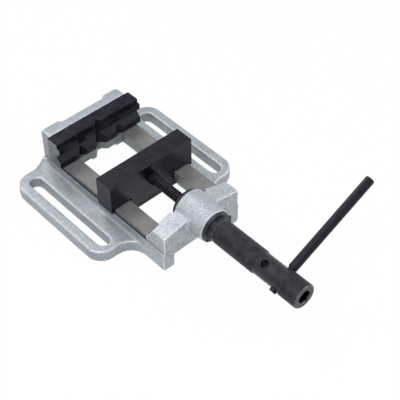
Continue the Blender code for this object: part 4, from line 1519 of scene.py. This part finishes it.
    def fasteners(self, zinc: Material, oiled: Material) -> list[Object]:
        """Make the keeper's cap screws and the lock pin.

        Args:
            zinc: Finish of the screws.
            oiled: Finish of the pin.

        Returns:
            The five pieces.
        """
        pieces = []
        for index, (x, y) in enumerate(self.screw_places(), start=1):
            sizes = (self.keeper_thread, self.keeper_length, self.screw_seat())
            screw = CapScrew(f"keeper_cap_screw_{index}", self.plan.upright(x, y), *sizes, towards_tip=1.0).build(zinc)
            pieces.append(seat(screw, "jaw", "zinc_steel", f"keeper_screw_{index}"))
        top = self.plan.jaw_high.z - self.pin_recess
        radius = self.pin_radius
        edge = 0.3 * radius
        bottom = self.plan.spindle_z + self.pin_bottom
        profile = [(0.0, top), (radius - edge, top), (radius, top - edge), (radius, bottom), (0.0, bottom)]
        pin = turned("lock_pin", self.plan.upright(0.0, self.plan.pin_station), profile, steps=32)
        pieces.append(seat(dress(pin, oiled), "jaw", "zinc_steel", "screw_lock_pin"))
        return pieces


@dataclass
class LeadScrew:
    """Left-hand trapezoidal screw with a collar and a shank in the movable jaw."""

    plan: Plan
    diameter: float = 0.0120
    pitch: float = 0.0030
    thread_depth: float = 0.00175
    crest_width: float = 0.0011
    root_width: float = 0.00096
    collar_radius: float = 0.0068
    collar_length: float = 0.0080
    shank_radius: float = 0.0050
    groove_depth: float = 0.0010
    pin_radius: float = 0.0020
    edge: float = 0.0004
    steps: int = 40

    @property
    def crest(self) -> float:
        """Radius of the thread's crests."""
        return 0.5 * self.diameter

    @property
    def root(self) -> float:
        """Radius of the thread's roots."""
        return self.crest - self.thread_depth

    def build(self, worn: Material, black: Material) -> Object:
        """Cut the thread and turn its collar and shank.

        Args:
            worn: Finish of the thread.
            black: Finish of the collar and the shank.

        Returns:
            The finished screw.
        """
        screw = dress(self.thread(), worn)
        combine(screw, dress(self.shank(), black), Action.ADD)
        return seat(screw, "jaw", "black_steel", "lead_screw", degrees=28.0)

    def thread(self) -> Object:
        """Sweep one pitch of the thread along the screw and trim both ends."""
        collar_front = self.plan.jaw_low.y - SEAT_GAP - self.collar_length
        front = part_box("lead_screw")[0].y
        rear = collar_front + self.pitch
        flank = 0.5 * (self.pitch - self.crest_width - self.root_width)
        ways = [0.0, self.crest_width, self.crest_width + flank, self.pitch - flank, self.pitch]
        radii = [self.crest, self.crest, self.root, self.root, self.crest]
        axis = Axis(Vector(), FRONTWARD, ACROSS)
        thread = chain("threaded_screw", [axis.point(radius, way) for radius, way in zip(radii, ways)])
        turns = math.ceil((rear - front) / self.pitch) + 2
        apply_modifier(
            thread,
            "SCREW",
            axis="Y",
            screw_offset=-self.pitch,
            iterations=turns,
            steps=self.steps,
            render_steps=self.steps,
            use_merge_vertices=True,
            merge_threshold=WELD,
        )
        with editing(thread):
            bpy.ops.transform.translate(value=(0.0, rear + self.pitch, self.plan.spindle_z))
            bpy.ops.mesh.remove_doubles(threshold=WELD)
            for stop, side in ((collar_front + self.edge, "clear_outer"), (front, "clear_inner")):
                plane = {"plane_co": (0.0, stop, 0.0), "plane_no": (0.0, 1.0, 0.0), side: True}
                bpy.ops.mesh.bisect(use_fill=True, threshold=WELD, **plane)
                bpy.ops.mesh.select_all(action="SELECT")
            bpy.ops.mesh.normals_make_consistent(inside=False)
        return thread

    def shank(self) -> Object:
        """Turn the collar and the shank with its pin groove."""
        jaw_front = self.plan.jaw_low.y
        start = jaw_front - SEAT_GAP
        end = jaw_front + self.plan.shank_length
        pin = self.plan.pin_station
        neck = self.shank_radius - self.groove_depth
        profile = [
            (0.0, end),
            (self.shank_radius - self.edge, end),
            (self.shank_radius, end - self.edge),
            (self.shank_radius, pin + self.pin_radius),
            (neck, pin + self.pin_radius),
            (neck, pin - self.pin_radius),
            (self.shank_radius, pin - self.pin_radius),
            (self.shank_radius, start),
            (self.collar_radius - self.edge, start),
            (self.collar_radius, start - self.edge),
            (self.collar_radius, start - self.collar_length + self.edge),
            (self.collar_radius - self.edge, start - self.collar_length),
            (0.0, start - self.collar_length),
        ]
        return turned("shank", self.plan.spindle, profile, steps=56)


@dataclass(frozen=True)
class SleeveFinishes:
    """Finishes of the sleeve's zones."""

    body: Material
    smooth: Material
    # Rubbed wear with a painted highlight, on the head's chamfer and the socket's mouth
    rubbed: Material
    # Paler neck behind the front disc, a painted highlight
    neck: Material
    # Near-black painted shade inside the cross holes and the socket
    hollow_shade: Material


@dataclass
class Sleeve:
    """Turning nut sleeve with its discs, spring ring and plug-in lever."""

    plan: Plan
    journal: float = 0.0138
    flange: float = 0.0174
    flange_front: float = -0.1577
    flange_rear: float = -0.1546
    body: float = 0.0132
    body_rear: float = -0.2080
    grip: float = 0.01225
    grip_rear: float = -0.2615
    head: float = 0.0136
    head_rear: float = -0.2955
    nut_bore: float = 0.0063
    groove: float = 0.0128
    ring_land: float = 0.0012
    shoulder: float = 0.0006
    head_edge: float = 0.0012
    hole_radius: float = 0.0042
    hole_sink: float = 0.0008
    first_hole: float = -0.2720
    lever_hole: float = -0.2915
    socket: float = 0.0140
    socket_depth: float = 0.0150
    socket_chamfer: float = 0.0012
    socket_lead: float = 0.0006
    edge: float = 0.00025
    steps: int = 96
    ring_start: float = -12.0
    ring_sweep: float = 226.0
    ring_width: float = 0.0040
    eye: float = 0.0022
    eye_hole: float = 0.0009
    hook_root: float = 0.0160
    hook_reach: float = 0.0191
    hook_width: float = 0.0013
    hook_low: float = -0.0052
    hook_high: float = 0.0042
    lever_radius: float = 0.0050
    shank_radius: float = 0.0039
    lever_edge: float = 0.0010
    stub: float = 0.0030

    def build(self, finishes: SleeveFinishes) -> Object:
        """Turn the sleeve, drill its cross holes and broach its socket.

        Args:
            finishes: Finishes of its zones.

        Returns:
            The finished sleeve.
        """
        sleeve = turned("turning_sleeve", self.plan.spindle, self.profile(), self.steps)
        soften(sleeve, self.edge, degrees=40.0)
        dress(sleeve, finishes.body, finishes.smooth, finishes.rubbed, finishes.neck)
        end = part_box("nut_sleeve")[0].y
        neck_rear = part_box("front_washer")[0].y
        for face in sleeve.data.polygons:
            face.material_index = self.zone(face.center, end, neck_rear)
        lever = self.plan.lever_axis
        across = Vector((-lever.z, 0.0, lever.x))
        for station, along in ((self.first_hole, across), (self.lever_hole, lever)):
            combine(sleeve, self.cross_hole(station, along, finishes), Action.CUT)
        combine(sleeve, self.hexagon(finishes), Action.CUT)
        return seat(sleeve, "sleeve", "phosphate_steel", "nut_sleeve", degrees=32.0)

    def zone(self, centre: Vector, end: float, neck_rear: float) -> int:
        """Choose the finish of one face of the sleeve.

        Args:
            centre: Centre of the face.
            end: Station of the sleeve's end.
            neck_rear: Station where its neck meets the front disc.

        Returns:
            Index of the rough, the smooth, the rubbed finish with its painted highlight, or the neck's painted
            highlight.
        """
        radius = math.hypot(centre.x, centre.z - self.plan.spindle_z)
        if centre.y < end + self.head_edge and radius > self.head - self.head_edge - self.edge:
            return 2
        if self.body_rear < centre.y < neck_rear:
            return 3
        return int(centre.y < end + self.edge or self.head_rear < centre.y < self.grip_rear)

    def profile(self) -> list[Pair]:
        """Work out the sleeve's half section from its nut bore round to its end."""
        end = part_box("nut_sleeve")[0].y
        washer_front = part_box("front_washer")[0].y
        groove_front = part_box("retaining_ring")[0].y - SEAT_GAP
        land = groove_front - self.ring_land
        step = self.shoulder
        return [
            (0.0, self.grip_rear),
            (self.nut_bore, self.grip_rear),
            (self.nut_bore, self.flange_rear),
            (self.flange - step, self.flange_rear),
            (self.flange, self.flange_rear - step),
            (self.flange, self.flange_front),
            (self.journal, self.flange_front),
            (self.journal, washer_front),
            (self.groove, washer_front),
            (self.groove, groove_front),
            (self.journal, groove_front),
            (self.journal, land),
            (self.grip, land),
            (self.grip, self.body_rear),
            (self.body - step, self.body_rear),
            (self.body, self.body_rear - step),
            (self.body, self.grip_rear),
            (self.grip, self.grip_rear - step),
            (self.grip, self.head_rear),
            (self.head, self.head_rear - step),
            (self.head, end + self.head_edge),
            (self.head - self.head_edge, end),
            (0.0, end),
        ]

    def cross_hole(self, station: float, along: Vector, finishes: SleeveFinishes) -> Object:
        """Cutter for a hole across the sleeve, countersunk at both mouths.

        Args:
            station: Place of the hole along the sleeve.
            along: Way that the hole runs.
            finishes: Finishes of the hole, near-black as painted shade, and of its countersinks.

        Returns:
            Cutter.
        """
        axis = Axis(Vector((0.0, station, self.plan.spindle_z)), along, REARWARD)
        reach = 2.0 * self.head
        wide = self.hole_radius + self.hole_sink + reach - self.grip
        depth = self.grip - self.hole_sink
        profile = [(0.0, reach), (wide, reach), (self.hole_radius, depth)]
        profile += [(self.hole_radius, -depth), (wide, -reach), (0.0, -reach)]
        cutter = dress(turned("cross_hole", axis, profile, steps=56), finishes.hollow_shade, finishes.smooth)
        rim = self.hole_radius + self.hole_sink
        for face in cutter.data.polygons:
            face.material_index = int((face.center - axis.origin).cross(along).length > rim)
        return cutter

    def hexagon(self, finishes: SleeveFinishes) -> Object:
        """Cutter for the hexagon socket with its conical mouth.

        Args:
            finishes: Finishes of the socket, near-black as painted shade, and of its mouth.

        Returns:
            Cutter.
        """
        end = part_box("nut_sleeve")[0].y
        radius = self.socket / math.sqrt(3.0)
        ends = (end - SEAT_GAP, end + self.socket_depth)
        tool = dress(rod("hexagon", self.plan.spindle, radius, *ends, steps=HEXAGON), finishes.hollow_shade)
        mouth = radius + self.socket_lead
        depth = end + self.socket_chamfer
        profile = [(0.0, end - SEAT_GAP), (mouth + SEAT_GAP, end - SEAT_GAP), (mouth - self.socket_chamfer, depth)]
        profile.append((0.0, depth))
        cone = dress(turned("mouth", self.plan.spindle, profile, steps=64), finishes.rubbed)
        return combine(tool, cone, Action.ADD)

    def disc(self, name: str, node: str, body: str, slot: str, finish: Material) -> Object:
        """Turn one flat disc around the journal.

        Args:
            name: Name of the piece.
            node: Solid that it stands for.
            body: Body that it rides on.
            slot: Material slot of its finish.
            finish: Its finish.

        Returns:
            The finished disc.
        """
        low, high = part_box(node)
        hole = self.journal + SEAT_GAP
        edge = self.edge
        profile = [
            (hole, low.y),
            (high.x - edge, low.y),
            (high.x, low.y + edge),
            (high.x, high.y - edge),
            (high.x - edge, high.y),
            (hole, high.y),
            (hole, low.y),
        ]
        disc = turned(name, self.plan.spindle, profile, self.steps)
        return seat(dress(disc, finish), body, slot, node)

    def spring_ring(self, black: Material) -> Object:
        """Bend the open spring ring and drill the eye at each end.

        Args:
            black: Finish of the ring.

        Returns:
            The finished ring.
        """
        low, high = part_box("retaining_ring")
        inner = self.groove + SEAT_GAP
        outer = inner + self.ring_width
        axis = self.plan.facing(self.ring_start)
        ring = hoop("spring_ring", axis, (inner, outer), (-high.y, -low.y), 72, self.ring_sweep)
        places = []
        for degrees in (self.ring_start, self.ring_start + self.ring_sweep):
            angle = math.radians(degrees)
            reach = inner + self.eye
            places.append(self.plan.lengthwise(reach * math.cos(angle), self.plan.spindle_z + reach * math.sin(angle)))
        for place in places:
            combine(ring, rod("eye", place, self.eye, low.y, high.y, steps=40), Action.ADD)
        combine(ring, self.hook(low.y, high.y), Action.ADD)
        for place in places:
            hole = rod("eye_hole", place, self.eye_hole, low.y - SEAT_GAP, high.y + SEAT_GAP, steps=24)
            combine(ring, hole, Action.CUT)
        soften(ring, 0.5 * self.edge, segments=1, degrees=50.0)
        return seat(dress(ring, black), "sleeve", "black_steel", "retaining_ring")

    def hook(self, front: float, rear: float) -> Object:
        """Model the end of the spring ring that is bent up to grip it by.

        Args:
            front: Station of the ring's front.
            rear: Station of its back.

        Returns:
            Prism with the outline of the hook.
        """
        bend = self.hook_low + 1.8 * self.hook_width
        inside = self.hook_reach - self.hook_width
        corners = [
            (self.hook_root, self.hook_low),
            (self.hook_reach, self.hook_low),
            (self.hook_reach, self.hook_high),
            (inside, self.hook_high),
            (inside, bend),
            (self.hook_root, bend),
        ]
        outline = [Vector((x, front, self.plan.spindle_z + z)) for x, z in corners]
        return prism("hook", outline, Vector((0.0, rear - front, 0.0)))

    def lever(self, blued: Material) -> Object:
        """Turn the lever with its shoulder and shank.

        Args:
            blued: Finish of the lever.

        Returns:
            The finished lever.
        """
        along = self.plan.lever_axis
        origin = Vector((0.0, self.lever_hole, self.plan.spindle_z))
        axis = Axis(origin, along, REARWARD)
        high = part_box("lever_bar")[1]
        reach = (high.x - abs(along.z) * (self.lever_radius - self.lever_edge)) / along.x
        shoulder = self.head + SEAT_GAP
        end = -(self.grip + self.stub)
        edge = self.lever_edge
        profile = [(0.0, reach)]
        profile += arc((self.lever_radius - edge, reach - edge), edge, 90.0, 0.0, steps=4)
        profile += [
            (self.lever_radius, shoulder + 0.5 * edge),
            (self.lever_radius - 0.5 * edge, shoulder),
            (self.shank_radius, shoulder),
            (self.shank_radius, end + 0.5 * edge),
            (self.shank_radius - 0.5 * edge, end),
            (0.0, end),
        ]
        bar = turned("lever_rod", axis, profile, steps=64)
        return seat(dress(bar, blued), "lever", "blued_steel", "lever_bar")


# Stage


@dataclass(frozen=True)
class Lamp:
    """Soft square lamp."""

    name: str
    place: tuple[float, float, float]
    size: float
    power: float

    def hang(self, aim: Vector) -> None:
        """Hang the lamp so that it points at a place.

        Args:
            aim: Place that it points at.
        """
        spot = Vector(self.place)
        turn = (aim - spot).to_track_quat("-Z", "Y").to_euler()
        bpy.ops.object.light_add(type="AREA", location=spot, rotation=turn)
        lamp = bpy.context.active_object
        lamp.name = self.name
        lamp.data.shape = "SQUARE"
        lamp.data.size = self.size
        lamp.data.energy = self.power


@dataclass
class Stage:
    """Pale floor, soft light, white surround and the camera at the photograph's angle."""

    floor_size: float = 8.0
    floor_colour: Colour = chip(236, 236, 236)
    floor_roughness: float = 0.9
    floor_specular: float = 0.1
    floor_glow: float = 0.97
    surround: float = 0.52
    eye: Vector = field(default_factory=lambda: Vector((-0.49186, -0.71474, 0.81907)))
    azimuth: float = -42.43
    elevation: float = 46.0
    roll: float = -0.26
    lens: float = 96.0
    sensor: float = 36.0
    aim: Vector = field(default_factory=lambda: Vector((0.0, -0.09, 0.03)))
    lamps: tuple[Lamp, ...] = (
        Lamp("key", (-0.65, -0.30, 0.95), 0.70, 7.5),
        Lamp("fill", (0.75, -0.9, 0.7), 0.90, 6.5),
        Lamp("top", (0.07, 0.65, 0.97), 0.40, 4.0),
    )

    def build(self) -> None:
        """Set up the floor, the light and the camera."""
        bpy.context.scene.view_settings.view_transform = "Standard"
        self.floor()
        self.world()
        for lamp in self.lamps:
            lamp.hang(self.aim)
        self.camera()

    def floor(self) -> None:
        """Lay the pale floor; seen directly it glows white and keeps a soft shadow."""
        bpy.ops.object.select_all(action="DESELECT")
        bpy.ops.mesh.primitive_plane_add(size=self.floor_size, location=(0.0, 0.0, -0.0001))
        floor = bpy.context.active_object
        floor.name = "floor"
        bpy.ops.object.transform_apply(location=True, rotation=True, scale=True)
        material = bpy.data.materials.new("pale_floor")
        material.use_nodes = True
        tree = material.node_tree
        diffuse = tree.nodes["Principled BSDF"]
        diffuse.inputs["Base Color"].default_value = self.floor_colour
        diffuse.inputs["Roughness"].default_value = self.floor_roughness
        diffuse.inputs["Specular IOR Level"].default_value = self.floor_specular
        glow = add_node(tree, "Emission", {})
        share = add_node(tree, "Math", {0: self.direct_rays(tree), 1: self.floor_glow}, operation="MULTIPLY")
        self.blend(tree, share.outputs["Value"], diffuse, glow, "Material Output")
        dress(floor, material)

    def blend(self, tree: NodeTree, share: NodeSocket, first: Node, second: Node, output: str) -> None:
        """Mix two shaders into an output.

        Args:
            tree: Node tree that holds them.
            share: Share of the second shader.
            first: Shader of the scattered rays.
            second: Shader of the direct rays.
            output: Name of the output node.
        """
        mix = add_node(tree, "MixShader", {0: share, 1: first.outputs[0], 2: second.outputs[0]})
        tree.links.new(mix.outputs["Shader"], tree.nodes[output].inputs["Surface"])

    def direct_rays(self, tree: NodeTree) -> NodeSocket:
        """Say whether a ray comes from the camera, a gloss or a glass.

        Args:
            tree: Node tree that needs it.

        Returns:
            One for such rays and zero for the rest.
        """
        path = add_node(tree, "LightPath", {})
        total = path.outputs["Is Camera Ray"]
        for name in ("Is Glossy Ray", "Is Transmission Ray"):
            pair = add_node(tree, "Math", {0: total, 1: path.outputs[name]}, operation="MAXIMUM")
            total = pair.outputs["Value"]
        return total

    def world(self) -> None:
        """Surround the part with white that lights it softly."""
        world = bpy.data.worlds.new("surround")
        bpy.context.scene.world = world
        world.use_nodes = True
        tree = world.node_tree
        soft = tree.nodes["Background"]
        soft.inputs["Strength"].default_value = self.surround
        white = add_node(tree, "Background", {})
        for background in (soft, white):
            background.inputs["Color"].default_value = WHITE
        self.blend(tree, self.direct_rays(tree), soft, white, "World Output")

    def camera(self) -> None:
        """Place the camera where the photograph was taken from."""
        azimuth = math.radians(self.azimuth)
        elevation = math.radians(self.elevation)
        roll = math.radians(self.roll)
        level = math.cos(elevation)
        back = Vector((math.sin(azimuth) * level, -math.cos(azimuth) * level, math.sin(elevation)))
        aside = (-back).cross(UPWARD).normalized()
        upright = aside.cross(-back)
        right = math.cos(roll) * aside + math.sin(roll) * upright
        up = -math.sin(roll) * aside + math.cos(roll) * upright
        bpy.ops.object.camera_add(location=self.eye)
        camera = bpy.context.active_object
        camera.name = "camera"
        camera.rotation_euler = Matrix((right, up, back)).transposed().to_euler()
        camera.data.lens = self.lens
        camera.data.sensor_width = self.sensor
        camera.data.dof.use_dof = False
        bpy.context.scene.camera = camera


def cut_finishes(ledge: float) -> CutFinishes:
    """Make the finishes of the casting's machined faces.

    Args:
        ledge: Height of the ledges beside the rails, just above which the strips carry painted shade.

    Returns:
        The finishes.
    """
    colours = {
        "strip_iron": (chip(108, 109, 112), chip(88, 89, 93), chip(80, 78, 78)),
        "milled_iron": (chip(136, 142, 141), chip(114, 119, 119), chip(98, 102, 101)),
        # Pale turned iron for the boss face and bore: machined metal, its paleness partly a painted highlight
        "turned_iron_highlight": (chip(208, 211, 215), chip(180, 184, 189), chip(166, 170, 174)),
    }
    # Painted shade above the ledges on the side strips
    corner_shade = {"strip_iron": ledge + STRIP_CORNER_SHADE}
    irons = [GroundIron(name, *three, corner_shade_top=corner_shade.get(name, 0.0)) for name, three in colours.items()]
    return CutFinishes(GroundIron().material(), *(iron.material() for iron in irons))


def dark_finishes() -> dict[str, Material]:
    """Make the darkened finishes of the jaws, the screws, the sleeve and the lever.

    Returns:
        The finishes by name.
    """
    glossy = {"stretch": ALONG_X, "roughness": 0.34}
    bright = {"roughness": 0.3, "specular": 0.4}
    steels = (
        DarkSteel("blackened_jaw", chip(6, 5, 12), chip(46, 44, 58), specular=0.14, **glossy),
        # Copies of the movable jaw's finish by face: the top copy reflects less, painted shade; the end copy is paler,
        # painted light
        DarkSteel("blackened_block", chip(4, 4, 9), chip(30, 30, 38), specular=0.32, **glossy),
        DarkSteel("blackened_block_top", chip(6, 7, 11), chip(32, 33, 40), specular=0.22, **glossy),
        DarkSteel("blackened_block_end", chip(40, 40, 47), chip(66, 66, 74)),
        DarkSteel("blackened_small", chip(16, 16, 20), chip(40, 40, 44)),
        DarkSteel("oiled_zinc", chip(38, 38, 40), chip(96, 96, 98), streak=0.0003, cloud=0.001),
        DarkSteel("phosphate_skin", chip(24, 24, 29), chip(66, 66, 72), roughness=0.5, cloud=0.006),
        DarkSteel("smooth_sleeve", chip(18, 18, 24), chip(44, 44, 52), **bright),
        # Pale copy for the head's chamfer and the socket's mouth: partly rubbed wear, partly a painted highlight
        DarkSteel("rubbed_edge_highlight", chip(62, 62, 68), chip(128, 128, 132), **bright),
        # Near-black painted shade for recesses: the movable jaw's reliefs, the sleeve's cross holes and its socket
        DarkSteel("shaded_recess_black", chip(4, 4, 6), chip(14, 14, 16), specular=0.05),
        # Pale copy on the neck behind the front disc: a painted highlight
        DarkSteel("neck_painted_highlight", chip(26, 27, 34), chip(96, 98, 108), cloud=0.006, **bright),
        DarkSteel("blued_rod", chip(5, 6, 12), chip(22, 23, 31), roughness=0.34, specular=0.25),
    )
    return {steel.name: steel.material() for steel in steels}


def main() -> None:
    """Build, dress and seat every piece, then set the stage."""
    logging.basicConfig(level=logging.INFO, format="%(name)s: %(message)s")
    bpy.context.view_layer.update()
    plan = Plan.read()
    paint = CastPaint().material()
    cuts = cut_finishes(plan.rail_top - Casting.ledge_drop)
    bare_colours = (chip(118, 123, 121), chip(88, 92, 94), chip(62, 64, 68))
    bare = GroundIron("bare_end", *bare_colours, streak=0.0008, stretch=(1.0, 1.0, 8.0)).material()
    dark = dark_finishes()
    small_black, shaded_recess_black = dark["blackened_small"], dark["shaded_recess_black"]
    phosphate = dark["phosphate_skin"]
    disc_black = TurnedSteel("turned_black", plan.spindle, chip(6, 6, 10), chip(66, 68, 78), pitch=0.0017).material()
    screw = LeadScrew(plan)
    worn = WornThread(plan.spindle, screw.root, screw.crest).material()
    zinc = ZincPlate().material()

    Casting(plan).build(paint, cuts)
    jaw = PrismJaw(plan)
    jaw.build(dark["blackened_jaw"], bare)
    jaw.fasteners(small_black, zinc)
    slide = SlidingJaw(plan)
    slide.build(*(dark[f"blackened_block{place}"] for place in ("", "_top", "_end")), shaded_recess_black)
    slide.keeper(small_black)
    slide.fasteners(zinc, dark["oiled_zinc"])
    screw.build(worn, small_black)
    sleeve = Sleeve(plan)
    zones = (dark[name] for name in ("smooth_sleeve", "rubbed_edge_highlight", "neck_painted_highlight"))
    sleeve.build(SleeveFinishes(phosphate, *zones, hollow_shade=shaded_recess_black))
    sleeve.disc("thrust_disc", "thrust_washer", "base", "phosphate_steel", phosphate)
    sleeve.disc("front_disc", "front_washer", "base", "black_steel", disc_black)
    sleeve.spring_ring(disc_black)
    sleeve.lever(dark["blued_rod"])
    Stage().build()


if __name__ == "__main__":
    main()
